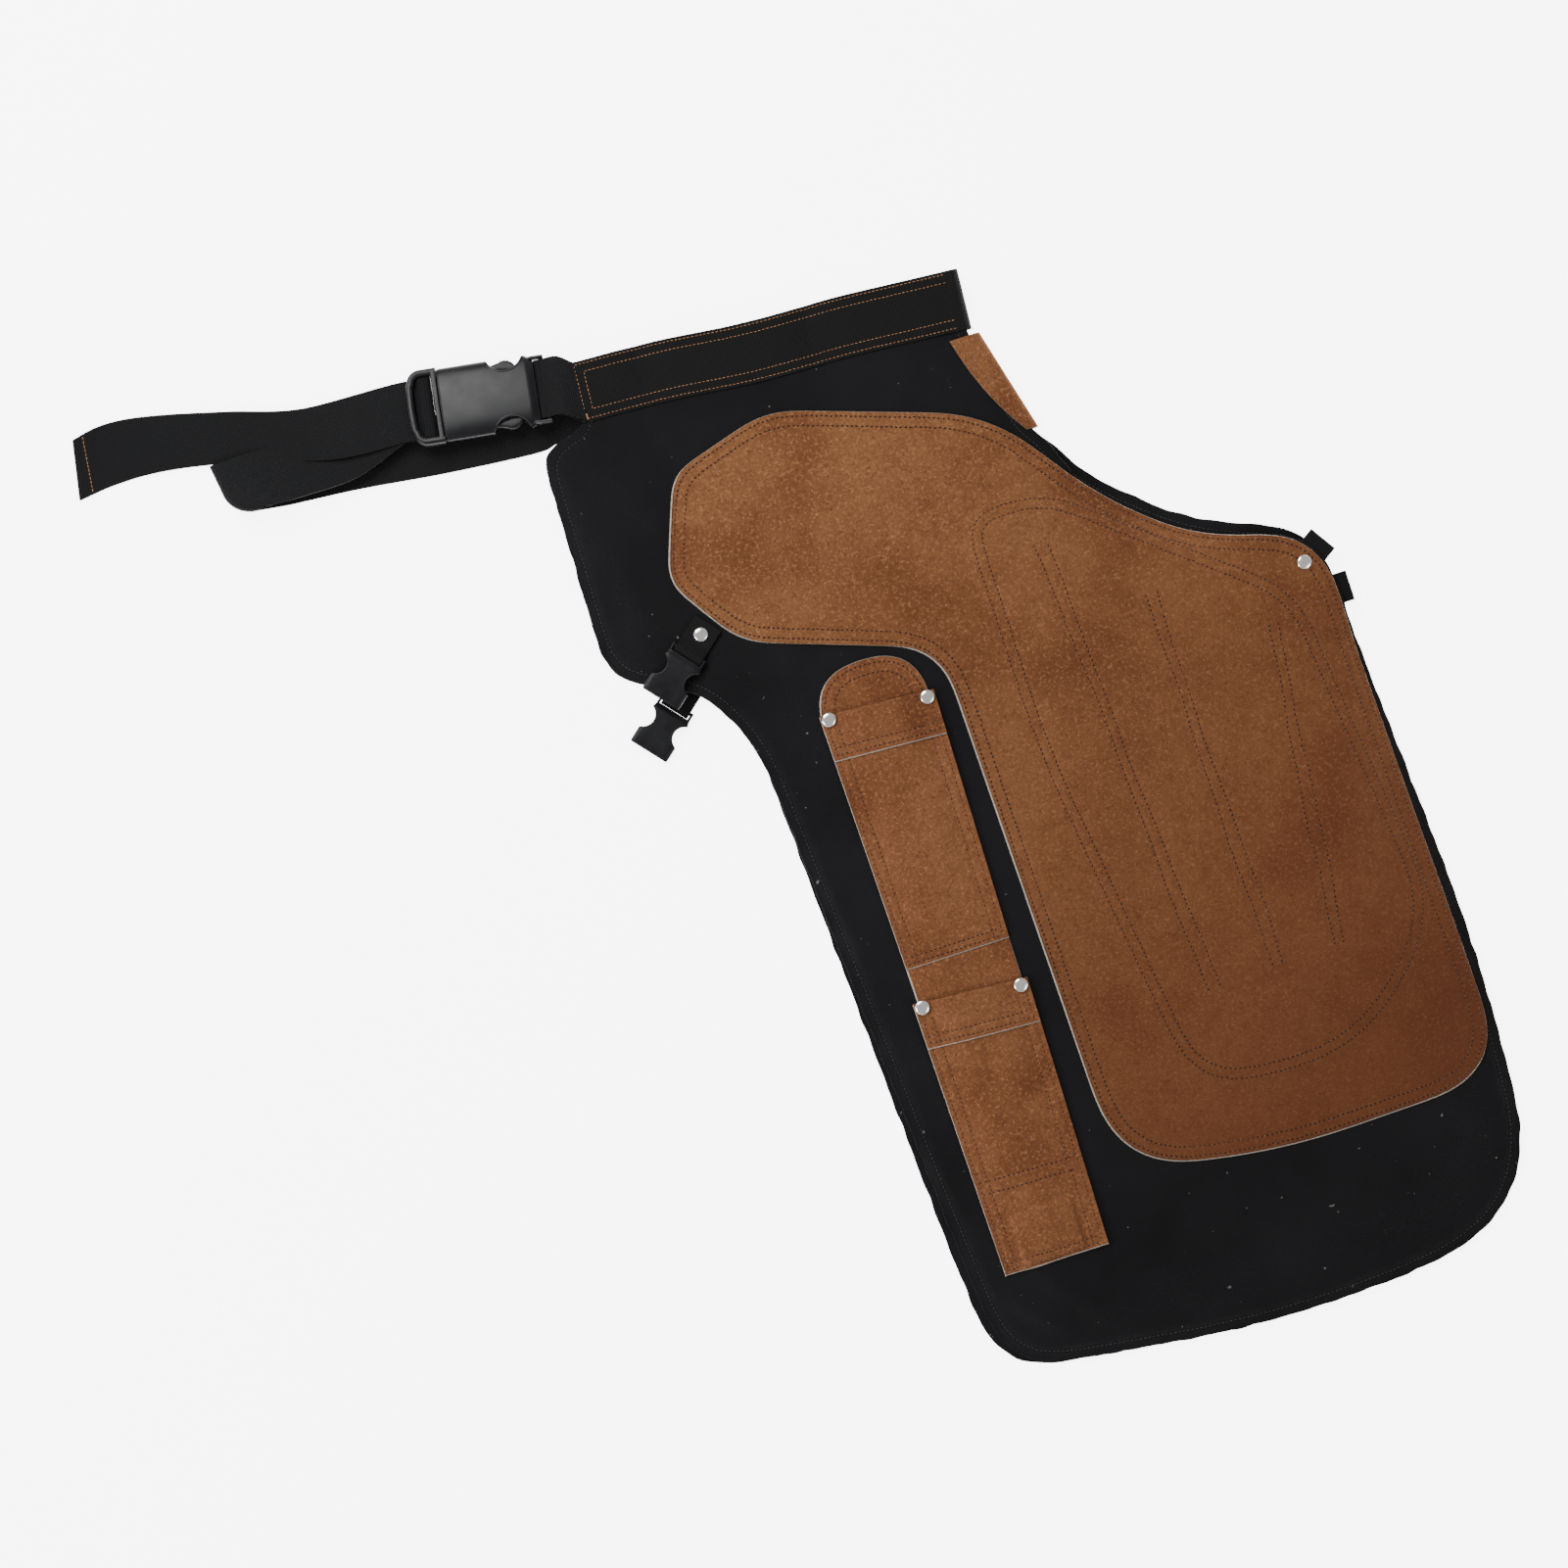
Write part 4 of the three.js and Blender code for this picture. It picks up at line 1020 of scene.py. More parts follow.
backings, fronts = {}, {}
for leg in ("top", "under"):
    backings[leg] = leaf(f"{leg}_backing_suede", backing_line, on_pattern((POCKET_MIDDLE, -540)),
                         lambda xy, leg=leg: backing_height(xy, leg), SUEDE * 0.9,
                         (0, 1.2, 2.6, 4.5, 6.5, 9, 12.5, 15), 26, edge_slant(backing_line, 1.2),
                         [POCKET_SUEDE, SUEDE_EDGE], "root", [f"{leg}_pocket_backing"])
    for which in POCKETS:
        fronts[leg, which] = pocket_front(which, leg)
    magnet_side = np.array([-0.5, 0.5, 0.5, -0.5]) * MAGNET["width"]
    magnet_end = np.array([-0.5, -0.5, 0.5, 0.5]) * MAGNET["length"]
    corners = pocket_point("lower", 0.5, MAGNET_DOWN) + np.stack([magnet_side, magnet_end], 1)
    magnet_line = even_loop(on_pattern(corners), 96, 1.6)
    leaf(f"{leg}_magnet_block", magnet_line, magnet_line.mean(0),
         lambda xy, leg=leg: (backing_height(xy, leg)
                              + OUTWARD[leg] * (SUEDE * 0.45 + 0.2 * MM + MAGNET_THICK / 2)),
         MAGNET_THICK, (0, 0.5, 1.5, 4), 5, 0.35 * MM, [MAGNET_IRON, MAGNET_IRON], "root",
         [f"{leg}_pocket_magnet"])
print("pockets", [o.name for o in fronts.values()])

# %% [markdown]
# Webbing is a flat woven strap, so it is a narrow grid: a line of places, and at each the
# direction of its width. A smooth spline through a few stations gives the line, and the
# same spline turns and tilts the width, as a strap twists when it is folded by hand.

# %% Webbing helper


def spline(stations, count):
    """Catmull-Rom curve through rows of numbers: each span is a cubic whose slopes are half
    the step between its neighbours. Returns count rows at even parameter steps."""
    rows = np.asarray(stations, float)
    padded = np.vstack([2 * rows[0] - rows[1], rows, 2 * rows[-1] - rows[-2]])
    t = np.linspace(0, len(rows) - 1, count)
    k = np.minimum(t.astype(int), len(rows) - 2)
    f = (t - k)[:, None]
    a, b, c, d = (padded[k + n] for n in range(4))
    return 0.5 * (2 * b + (c - a) * f + (2 * a - 5 * b + 4 * c - d) * f ** 2
                  + (3 * b - a - 3 * c + d) * f ** 3)


def heading(degrees, tilt=0.0):
    """Unit direction in plan, leaned down by a tilt in degrees."""
    angle, lean = np.radians(degrees), np.radians(tilt)
    return np.stack(np.broadcast_arrays(np.cos(angle) * np.cos(lean),
                                        np.sin(angle) * np.cos(lean), -np.sin(lean)), -1)


def strap_grid(path, across, width, columns):
    """Points path + s * width * across for s from -1/2 to 1/2, closer at the selvedges."""
    s = np.linspace(-0.5, 0.5, columns)
    s = np.concatenate([[-0.5, -0.485], s[1:-1], [0.485, 0.5]])
    return path[:, None, :] + s[None, :, None] * width * across[:, None, :], s


def strap_uv(s, width, path):
    """A strap's own map in metres: across its width and along its length."""
    return np.stack(np.meshgrid(s * width, run_along(path)), -1)


def webbing(name, path, across, width, body, finish, stands_for, shape=None):
    """A woven strap. shape may move the points of its grid, given them and their place
    across, and then the grid is finer."""
    co, s = strap_grid(path, across, width, 13 if shape is None else 25)
    if shape is not None:
        co = shape(co, s)
    return thicken(name, co, WEBBING * 0.95, [finish, finish], body, stands_for,
                   strap_uv(s, width, path))


def in_line(origin, turn, path_xz):
    """Places over one straight line in plan: x runs along it and z is the height, in mm."""
    path_xz = np.asarray(path_xz, float)
    xy = on_pattern(origin) + path_xz[:, :1] * MM * heading(turn)[None, :2]
    return np.concatenate([xy, path_xz[:, 1:] * MM], 1)


def arc(cx, cz, radius, start, end, count=9):
    angle = np.radians(np.linspace(start, end, count))
    return np.stack([cx + radius * np.cos(angle), cz + radius * np.sin(angle)], 1)


def densify(path, step):
    """The same polyline with points no further apart than step."""
    path = np.asarray(path, float)
    far = run_along(path)
    at = np.unique(np.concatenate([far, np.arange(0, far[-1], step)]))
    return at_lengths(path, at[np.concatenate([[True], np.diff(at) > step * 0.05])])


print("webbing helper ready")

# %% [markdown]
# The waistband goes over the waist edge of one leg, round the fold, and back along the
# other leg. It was sewn while the cloth was pulled a little, so its line is not quite
# straight. The suede centre patch wraps the same fold below it.

# %% Waistband and centre patch
BAND_RISE = 4.2
WAIST_HALF = 327
BAND_RADIUS = (MID_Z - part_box("waistband")[0].z) - WEBBING / 2
BAND_ORIGIN = tuple(-25 * part(math.radians(90 - BAND_RISE)) for part in (math.cos, math.sin))
FINE, COARSE = 130, 60
BAND_ROWS = (2.6, 9.4)


def band_wave(x):
    """Sideways waviness of the sewn band, in mm, at a distance from the fold."""
    return 0.9 * np.sin(x / 41 + 0.5) * smooth(x / 80) - 0.7 * np.sin(x / 23) * smooth(x / 120)


bend = BAND_RADIUS / MM
fold_at = bend + WEBBING / 2 / MM
turned = arc(fold_at, 0, bend, 90, 270, 17)[1:-1]
away = np.concatenate([np.linspace(WAIST_HALF, fold_at, FINE), turned[:, 0],
                       np.linspace(fold_at, WAIST_HALF, COARSE)])
rise = np.concatenate([np.full(FINE, bend), turned[:, 1], np.full(COARSE, -bend)])
path = in_line(BAND_ORIGIN, 180 - BAND_RISE, np.stack([away, rise], 1))
path[:, 2] += MID_Z
path[:, :2] += heading(90 - BAND_RISE)[:2] * (band_wave(away) * MM * (rise > 0))[:, None]
across = np.repeat(heading(90 - BAND_RISE)[None, :], len(path), 0)
band_co, band_s = strap_grid(path, across, BAND_WIDTH, 21)
top_side = np.clip(rise / bend, 0, 1)[:, None] * smooth((away - 8) / 30)[:, None]
on_cloth = (panel_height(band_co[..., :2], "top") + CANVAS / 2 + 0.2 * MM + WEBBING / 2
            + row_dent((0.5 - np.abs(band_s))[None, :] * BAND_WIDTH, BAND_ROWS, 1.6, 0.25))
band_co[..., 2] = band_co[..., 2] * (1 - top_side) + on_cloth * top_side
waistband = thicken("waistband_webbing_fold", band_co, WEBBING * 0.95, [BAND_WEB, BAND_WEB],
                    "root", ["waistband"], strap_uv(band_s, BAND_WIDTH, path))

CENTRE_TOP, CENTRE_LOW, CROTCH_RUN = -55, -143, 24
CENTRE_WIDE, CENTRE_NARROW = 26, 10.1
CENTRE_ROWS, CENTRE_FLAT = 50, 13


def fold_line(y):
    """How far the fold leans towards the inner thigh, in mm, at a height on the pattern."""
    return CROTCH_RUN * np.clip((y + 50) / (-145 + 50), 0, 1)


down = np.linspace(0, 1, CENTRE_ROWS)[:, None]
y = CENTRE_TOP + (CENTRE_LOW - CENTRE_TOP) * down
suede_bend = bend + 0.15
reach = CENTRE_WIDE + (CENTRE_NARROW - CENTRE_WIDE) * down ** 2.5
middle = fold_line(y) - suede_bend - SUEDE / 2 / MM
flat = np.linspace(0, 1, CENTRE_FLAT, endpoint=False)[None, :]
turn = np.linspace(np.pi / 2, -np.pi / 2, 17)[None, :]
wing = fold_line(y) - reach + (middle - fold_line(y) + reach) * flat
x = np.concatenate([wing, middle + suede_bend * np.cos(turn), wing[:, ::-1]], 1)
level = np.full((CENTRE_ROWS, CENTRE_FLAT), suede_bend)
z = np.concatenate([level, np.repeat(suede_bend * np.sin(turn), CENTRE_ROWS, 0), -level], 1)
centre_co = np.concatenate([on_pattern(np.stack([x, np.repeat(y, x.shape[1], 1)], -1)),
                            (MID_Z + z * MM)[..., None]], -1)
centre_suede = thicken("centre_patch_suede", centre_co[:, ::-1], SUEDE * 0.9,
                       [THIGH_SUEDE, SUEDE_EDGE], "root", ["centre_patch"])
print("waistband", len(waistband.data.polygons), "faces; centre patch",
      len(centre_suede.data.polygons), "faces")

# %% [markdown]
# The waist buckle lies a little rolled, its lower side up on the strap beneath it, which
# is why its lower wall shows from above. One function carries points from the buckle's own
# frame, x from strap end to mouth, to the apron's frame.
#
# A buckle's sizes are millimetres. Its window is an arc of a radius that bites so far into
# each side; reach is from the shell back to the strap bar; square is the power of its
# rounded section and dome is how much its middle is crowned.

# %% Buckle frame
BUCKLE_AT, BUCKLE_TURN = (-359, 12), 171.2
BUCKLE_Z = float(centre("waist_plug")[2])
BUCKLE_ROLL, BUCKLE_LIFT = math.radians(9), 2.6
WAIST = {"length": 78, "width": 62, "height": 15, "wall": 2.2, "window": 22, "radius": 16,
         "bite": 12, "bar": 2, "reach": 8, "rail": 3, "web": 50, "square": 2.9, "dome": 0.8}
LEG = {"length": 38, "width": 35, "height": 9, "wall": 1.5, "window": 14, "radius": 10.5,
       "bite": 8, "bar": 1.5, "reach": 6, "rail": 2.4, "web": 25, "square": 6, "dome": 0.3}


def from_buckle(points, at=BUCKLE_AT, turn=BUCKLE_TURN, level=None, roll=BUCKLE_ROLL,
                lift=BUCKLE_LIFT):
    """Buckle millimetres to the frame: rolled about its length, turned in plan, moved."""
    p = np.asarray(points, float)
    level = BUCKLE_Z if level is None else level
    y = p[..., 1] * math.cos(roll) - p[..., 2] * math.sin(roll)
    z = p[..., 1] * math.sin(roll) + p[..., 2] * math.cos(roll)
    along, across = heading(turn), heading(turn + 90)
    xy = on_pattern(at) + (p[..., :1] * along[:2] + y[..., None] * across[:2]) * MM
    return np.concatenate([xy, (level + (z + lift) * MM)[..., None]], -1)


def tube_faces(rings, around):
    """A grid of closed rings with a flat cap at each end."""
    body = grid_faces(rings, around, 0, True)
    first = np.arange(around)[None, ::-1]
    last = (rings - 1) * around + np.arange(around)[None, :]
    return [body, first, last]


def section(half_y, half_z, square, around):
    """Superellipse: y = a cos^(2/n), z = b sin^(2/n), whose n squares its corners."""
    angle = np.linspace(0, 2 * np.pi, around, endpoint=False)
    c, s = np.cos(angle), np.sin(angle)
    power = 2 / square
    y = np.sign(c) * np.abs(c) ** power
    z = np.sign(s) * np.abs(s) ** power
    return np.reshape(half_y, (-1, 1)) * y, np.reshape(half_z, (-1, 1)) * z


def outward_shell(points, faces):
    """The same faces, turned round where their signed volume says they point inwards."""
    volume = 0.0
    for f in faces:
        for k in range(1, f.shape[1] - 1):
            a, b, c = points[f[:, 0]], points[f[:, k]], points[f[:, k + 1]]
            volume += np.einsum("ij,ij->", a, np.cross(b, c))
    return faces if volume > 0 else [f[:, ::-1] for f in faces]


def merge_shells(shells):
    """Several closed shells in one list of points and faces."""
    points, faces, start = [], [], 0
    for p, fs in shells:
        points.append(p)
        faces += [f + start for f in outward_shell(p, fs)]
        start += len(p)
    return np.vstack(points), faces


CARVING_SCALE = 10


def carved(shell, cutters):
    """A closed shell less its cutters, as points and faces, by an exact Boolean."""
    body = bare_object("carving", shell[0] * CARVING_SCALE, outward_shell(*shell))
    tools = []
    for number, cutter in enumerate(cutters):
        tool = bare_object(f"cutter_{number}", cutter[0] * CARVING_SCALE, outward_shell(*cutter))
        cut = body.modifiers.new(f"cut_{number}", "BOOLEAN")
        cut.operation, cut.solver, cut.object = "DIFFERENCE", "EXACT", tool
        tools.append(tool)
    graph = bpy.context.evaluated_depsgraph_get()
    made = bpy.data.meshes.new_from_object(body.evaluated_get(graph))
    for o in (body, *tools):
        bpy.data.objects.remove(o)
    co, tris = mesh_arrays(made)
    bpy.data.meshes.remove(made)
    return co / CARVING_SCALE, [tris]


PLASTIC_CREASE, RIVET_CREASE = math.radians(32), math.radians(40)


def moulded_piece(name, shells, place, body, finish, stands_for):
    """A plastic piece from shells in its own millimetres, placed, with creases by angle."""
    points, faces = merge_shells(shells)
    made = piece(name, place(points), faces, body, [finish], stands_for)
    made.data.set_sharp_from_angle(angle=PLASTIC_CREASE)
    return made


def bar_shell(start, end, radius, around=18):
    """A round bar with slightly domed ends between two points."""
    start, end = np.array(start, float), np.array(end, float)
    along = (end - start) / np.linalg.norm(end - start)
    side = np.cross(along, [0, 0, 1.0])
    side /= np.linalg.norm(side)
    up = np.cross(side, along)
    t = np.array([0, 0.02, 0.98, 1.0])
    size = np.array([0.8, 1, 1, 0.8]) * radius
    angle = np.linspace(0, 2 * np.pi, around, endpoint=False)
    ring = np.cos(angle)[:, None] * side + np.sin(angle)[:, None] * up
    points = start + t[:, None, None] * (end - start) + size[:, None, None] * ring
    return points.reshape(-1, 3), tube_faces(4, around)


def swept_shell(path, half_out, half_up, square=3.0, around=20):
    """A superellipse section carried along a path that is level in its own frame."""
    path = np.asarray(path, float)
    along = np.gradient(path, axis=0)
    along /= np.linalg.norm(along, axis=1)[:, None]
    side = np.stack([along[:, 1], -along[:, 0], np.zeros(len(path))], 1)
    side /= np.linalg.norm(side, axis=1)[:, None]
    u, v = section(half_out * np.ones(len(path)), half_up * np.ones(len(path)), square, around)
    points = (path[:, None, :] + u[..., None] * side[:, None, :]
              + v[..., None] * np.array([0, 0, 1.0]))
    return points.reshape(-1, 3), tube_faces(len(path), around)


def half_width(b, x):
    """Half the housing's width along it: full, with its ends drawn in a little."""
    half = b["width"] / 2
    return half - 0.05 * b["width"] * (1 - smooth(x / 7)) - 0.5 * smooth((x - b["length"] + 2) / 2)


def half_height(b, x):
    """Half its height: crowned in the middle, thinner at the strap end."""
    crown = np.sin(np.pi * np.clip(x / b["length"], 0, 1))
    body = b["height"] / 2 - b["dome"] + b["dome"] * crown
    return (body * (0.62 + 0.38 * smooth((x + 1) / 5))
            - 0.4 * smooth((x - b["length"] + 1.5) / 1.5))


def top_of(b, x, y):
    """Height of the housing's upper face at a place on it."""
    share = np.clip(np.abs(y) / half_width(b, x), 0, 1) ** b["square"]
    return half_height(b, x) * (1 - share) ** (1 / b["square"])


def housing(b):
    """The buckle's female half: a domed shell, hollow from its mouth, with an arched window
    bitten out of each side and a lip round it, and a strap bar between two rails."""
    around = 96
    x = np.concatenate([[-1, -0.6, 0.4, 2, 4], np.linspace(6, b["length"] - 3, 44),
                        b["length"] - np.array([2, 1.2, 0.6, 0.2, 0])])
    y, z = section(half_width(b, x), half_height(b, x), b["square"], around)
    points = np.stack([np.repeat(x[:, None], around, 1), y, z], -1).reshape(-1, 3)
    outer = (points, tube_faces(len(x), around))
    inner_x = np.array([b["wall"] + 1.5, b["length"] + 4.0])
    y, z = section(half_width(b, inner_x[:1]).repeat(2) - b["wall"] - 1.2,
                   np.full(2, b["height"] / 2 - b["wall"] - 0.3), 7.0, 64)
    cavity = (np.stack([np.repeat(inner_x[:, None], 64, 1), y, z], -1).reshape(-1, 3),
              tube_faces(2, 64))
    cutters = [cavity]
    shells = []
    for side in (-1, 1):
        off = side * (b["width"] / 2 + b["radius"] - b["bite"])
        angle = np.linspace(0, 2 * np.pi, 96, endpoint=False)
        rim = np.stack([b["window"] + b["radius"] * np.cos(angle),
                        off + b["radius"] * np.sin(angle)], 1)
        ends = np.array([-b["height"], b["height"]])[:, None]
        wall = np.concatenate([np.repeat(rim[None], 2, 0), np.repeat(ends, 96, 1)[..., None]], -1)
        cutters.append((wall.reshape(-1, 3), tube_faces(2, 96)))
        half_span = math.acos(min(1, (b["radius"] - b["bite"]) / b["radius"])) * 0.93
        lip = np.linspace(-half_span, half_span, 40) - side * np.pi / 2
        lx = b["window"] + (b["radius"] + 0.3) * np.cos(lip)
        ly = off + (b["radius"] + 0.3) * np.sin(lip)
        for up in (1, -1):
            path = np.stack([lx, ly, up * (top_of(b, lx, ly) - 0.3)], 1)
            shells.append(swept_shell(path, 0.018 * b["width"], 0.04 * b["height"], 2.0, 10))
    shells.insert(0, carved(outer, cutters))
    rail_y = b["web"] / 2 + 0.8 + b["rail"] / 2
    for side in (-1, 1):
        path = [[-b["reach"] - b["bar"], side * rail_y, 0], [-b["reach"] + 2, side * rail_y, 0],
                [0, side * rail_y, 0], [4, side * (rail_y - 0.6), 0]]
        shells.append(swept_shell(path, b["rail"] / 2, b["height"] * 0.27, 3.5, 16))
    shells.append(bar_shell([-b["reach"], -rail_y, 0], [-b["reach"], rail_y, 0], b["bar"]))
    return shells


waist_housing = moulded_piece("waist_buckle_housing", housing(WAIST), from_buckle, "root",
                              BUCKLE_PLASTIC, ["waist_socket"])
print("waist housing", len(waist_housing.data.polygons), "faces")

# %% [markdown]
# The male half slides into the housing. Its base is a curved rim with a slot for the
# webbing and a round bar in the slot; a tongue guides it. Each latch arm is a springy
# finger whose ribbed pad shows in a window, and each is a piece of its own because it moves.

# %% Waist plug and latch arms
PLUG_START, PLUG_END = 80.3, 102.3
ARM_ROOT, ARM_THICK = 79.5, 3.1


def plug_shells(b, start, length):
    half = b["width"] / 2 - 2.2
    end = start + length
    corner = np.linspace(0, np.pi / 2, 12)
    bulge = 0.10 * length
    r = 0.22 * b["width"] * 0.6
    left = np.stack([end - r + r * np.sin(corner), half - r + r * np.cos(corner)], 1)
    side = np.stack([np.linspace(start, end - r, 8)[:-1], np.full(7, half)], 1)
    across = np.linspace(half - r, -(half - r), 26)[1:-1]
    front = np.stack([end + bulge * (1 - (across / half) ** 2), across], 1)
    outline = np.vstack([side, left, front, left[::-1] * [1, -1], side[::-1] * [1, -1]])
    path = np.concatenate([outline - [b["height"] * 0.13, 0], np.full((len(outline), 1), 0.4)], 1)
    shells = [swept_shell(path, 0.055 * b["width"], b["height"] * 0.36, 3.0, 24)]
    crossbar = [[start + 0.6, y, z] for y, z in ((-half, 0), (0, 0.5), (half, 0))]
    shells.append(swept_shell(crossbar, 2.6, b["height"] * 0.40, 4.0, 20))
    middle = start + 0.5 * length
    shells.append(bar_shell([middle, -half, 0], [middle, half, 0], b["bar"]))
    shells.append(swept_shell([[b["window"] + 0.2 * b["length"], 0, 0], [b["length"] * 0.7, 0, 0],
                               [start + 1, 0, 0]], 0.075 * b["width"], b["height"] * 0.25, 4.0, 20))
    return shells


def arm_shells(b, side, root, thick):
    """A finger from the base to its pad: a superellipse section whose place across and
    thickness follow a smooth table along the arm; ribs stand on the pad."""
    edge = b["width"] / 2
    rows = spline([[root, edge - 0.155 * b["width"], 0.035 * b["width"]],
                   [b["window"] + 0.34 * b["length"], edge - 0.165 * b["width"], 0.04 * b["width"]],
                   [b["window"] + 0.55 * b["bite"], edge - 0.6 * b["bite"], 0.06 * b["width"]],
                   [b["window"], edge - 0.58 * b["bite"], 0.085 * b["width"]],
                   [b["window"] - 0.5 * b["bite"], edge - 0.70 * b["bite"], 0.07 * b["width"]],
                   [b["window"] - 0.8 * b["bite"], edge - 0.9 * b["bite"], 0.03 * b["width"]]], 44)
    u, v = section(rows[:, 2], np.full(len(rows), thick), 3.2, 28)
    points = np.stack([np.repeat(rows[:, :1], 28, 1), side * (rows[:, 1:2] + u), v], -1)
    shells = [(points.reshape(-1, 3), tube_faces(len(rows), 28))]
    for step in (-1, 0, 1):
        x = b["window"] + step * 0.13 * b["bite"] * 2
        y = side * (edge - 0.58 * b["bite"] + 0.076 * b["width"])
        shells.append(bar_shell([x, y, -thick * 0.7], [x + 0.01, y, thick * 0.7], 0.5, 8))
    return shells


moulded_piece("waist_buckle_plug", plug_shells(WAIST, PLUG_START, PLUG_END - PLUG_START),
              from_buckle, "waist_plug", BUCKLE_PLASTIC, ["waist_plug"])
for label, side in (("left", 1), ("right", -1)):
    moulded_piece(f"waist_latch_arm_{label}", arm_shells(WAIST, side, ARM_ROOT, ARM_THICK),
                  from_buckle, f"waist_latch_{label}", LATCH_PLASTIC, [f"waist_latch_{label}"])
print("waist plug and latch arms placed")

# %% [markdown]
# The leg buckles' female halves hang on short webbing tabs. They are flatter and more
# deeply waisted, so the same shell is used with its own sizes. The male halves and their
# latch arms lie between the legs and keep their plain solids with the moulded finish.

# %% Leg sockets and the hidden plugs
SOCKET_TURN = 220
TABS = {"top": {"rivet": (-292, -220), "length": 18},
        "under": {"rivet": (-286, -233), "length": 56}}
for leg, tab in TABS.items():
    far = tab["length"] + LEG["reach"]
    at = np.array(tab["rivet"]) + heading(SOCKET_TURN)[:2] * far
    level = float(centre(f"{leg}_leg_socket")[2])
    moulded_piece(f"{leg}_leg_buckle_housing", housing(LEG),
                  lambda p, at=at, level=level: from_buckle(p, at, SOCKET_TURN, level, 0.0, 0.0),
                  f"{leg}_leg_socket", BUCKLE_PLASTIC, [f"{leg}_leg_socket"])
for leg in ("top", "under"):
    for part in ("plug", "latch_left", "latch_right"):
        hidden = NODES[f"{leg}_leg_{part}"]
        hidden.data.materials.clear()
        hidden.data.materials.append(BUCKLE_PLASTIC if part == "plug" else LATCH_PLASTIC)
print("leg sockets placed")

# %% [markdown]
# Each tab and leg strap is folded webbing: it goes over one straight line in plan, and its
# path in height is straight runs and arcs round a bar or a fold. A tab's arc is stretched
# along the strap, because the loop is slack and fills its slot.

# %% Tabs and leg straps
LEG_WEB = 25 * MM
TAB_STRETCH = 1.74
wrap = LEG["bar"] + 0.3 + WEBBING / 2 / MM
ply = WEBBING / MM
for leg, tab in TABS.items():
    sign = OUTWARD[leg]
    bar = float(centre(f"{leg}_leg_socket")[2]) / MM
    rivet_xy = on_pattern(tab["rivet"])
    surface = float(panel_height(rivet_xy[None], leg)[0]) / MM + sign * CANVAS / 2 / MM
    near = surface + sign * (0.25 + ply / 2)
    far = near + sign * (ply + 0.2)
    long = tab["length"]
    around_bar = arc(long, bar, wrap, -90 * sign, 90 * sign)
    around_bar[:, 0] = long + (around_bar[:, 0] - long) * TAB_STRETCH
    path = np.vstack([[[-11, near], [long - 9, near]], around_bar, [[long - 9, far], [-11, far]]])
    path = in_line(tab["rivet"], SOCKET_TURN, densify(path, 1.5))
    across = np.repeat(heading(SOCKET_TURN + 90)[None, :], len(path), 0)
    webbing(f"{leg}_tab_webbing", path, across, LEG_WEB, "root", BELT_WEB, [f"{leg}_leg_tab"])

STRAPS = {"top": {"rivet": (195, -316), "turn": 33, "out": 24, "length": 250, "sign": -1},
          "under": {"rivet": (195, -345), "turn": 0, "out": 30, "length": 270, "sign": 1}}
for leg, at in STRAPS.items():
    sign, middle = at["sign"], MID_Z / MM
    near = middle - sign * 4 + sign * (0.3 + ply / 2)
    far = near + sign * (ply + 0.3)
    bar_x = at["out"] - at["length"] - 8.5
    fold = arc(at["out"], (near + far) / 2, abs(far - near) / 2, -90 * sign, 90 * sign)
    path = np.vstack([[[-22, near]], fold, [[-22, far], [bar_x + 20.5, middle - wrap],
                                            [bar_x, middle - wrap]],
                      arc(bar_x, middle, wrap, 270, 90)[1:], [[bar_x + wrap * 0.6, middle + wrap]]])
    path = in_line(at["rivet"], at["turn"], densify(path, 3))
    across = np.repeat(heading(at["turn"] + 90)[None, :], len(path), 0)
    webbing(f"{leg}_strap_webbing", path, across, LEG_WEB, "root", BELT_WEB, [f"{leg}_leg_strap"])
print("tabs and straps placed")

# %% [markdown]
# The belt comes from the under leg's band, runs under the buckle along the floor, turns over in a
# standing loop and comes back to the plug's bar; its tail lies over the loop and ends in a sewn
# hem. The run is one mesh that rides on no body of the frame, and the tail rides on the plug.

# %% Belt
FLOOR = WEBBING / 2 + 0.3 * MM
band_end = np.array(BAND_ORIGIN) + heading(180 - BAND_RISE)[:2] * (WAIST_HALF + 0.3)
under_band = MID_Z / MM - bend
floor_mm = FLOOR / MM
waist_wrap = WAIST["bar"] + 0.3 + ply / 2


def buckle_stations(points_xz):
    """Rows of x, y, z in pattern millimetres and the width's turn and tilt, on the buckle."""
    p = np.asarray(points_xz, float)
    world = from_buckle(np.stack([p[:, 0], np.zeros(len(p)), p[:, 1]], 1))
    xy = to_pattern(world[:, :2])
    turn = np.full(len(p), BUCKLE_TURN - 90)
    tilt = np.full(len(p), math.degrees(BUCKLE_ROLL))
    return np.column_stack([xy, world[:, 2] / MM, turn, tilt])


def belt(name, stations, count, body, stands_for, width=BAND_WIDTH, shape=None):
    """A strap through stations of x, y and z in millimetres and its width's turn and tilt
    in degrees. It also gives the rows of the spline."""
    rows = spline(stations, count)
    path = np.concatenate([on_pattern(rows[:, :2]), rows[:, 2:3] * MM], 1)
    return webbing(name, path, heading(rows[:, 3], rows[:, 4]), width, body, BELT_WEB,
                   stands_for, shape=shape), rows


SLUMP, SLUMP_FROM, SLUMP_OVER = 21, -560, 66


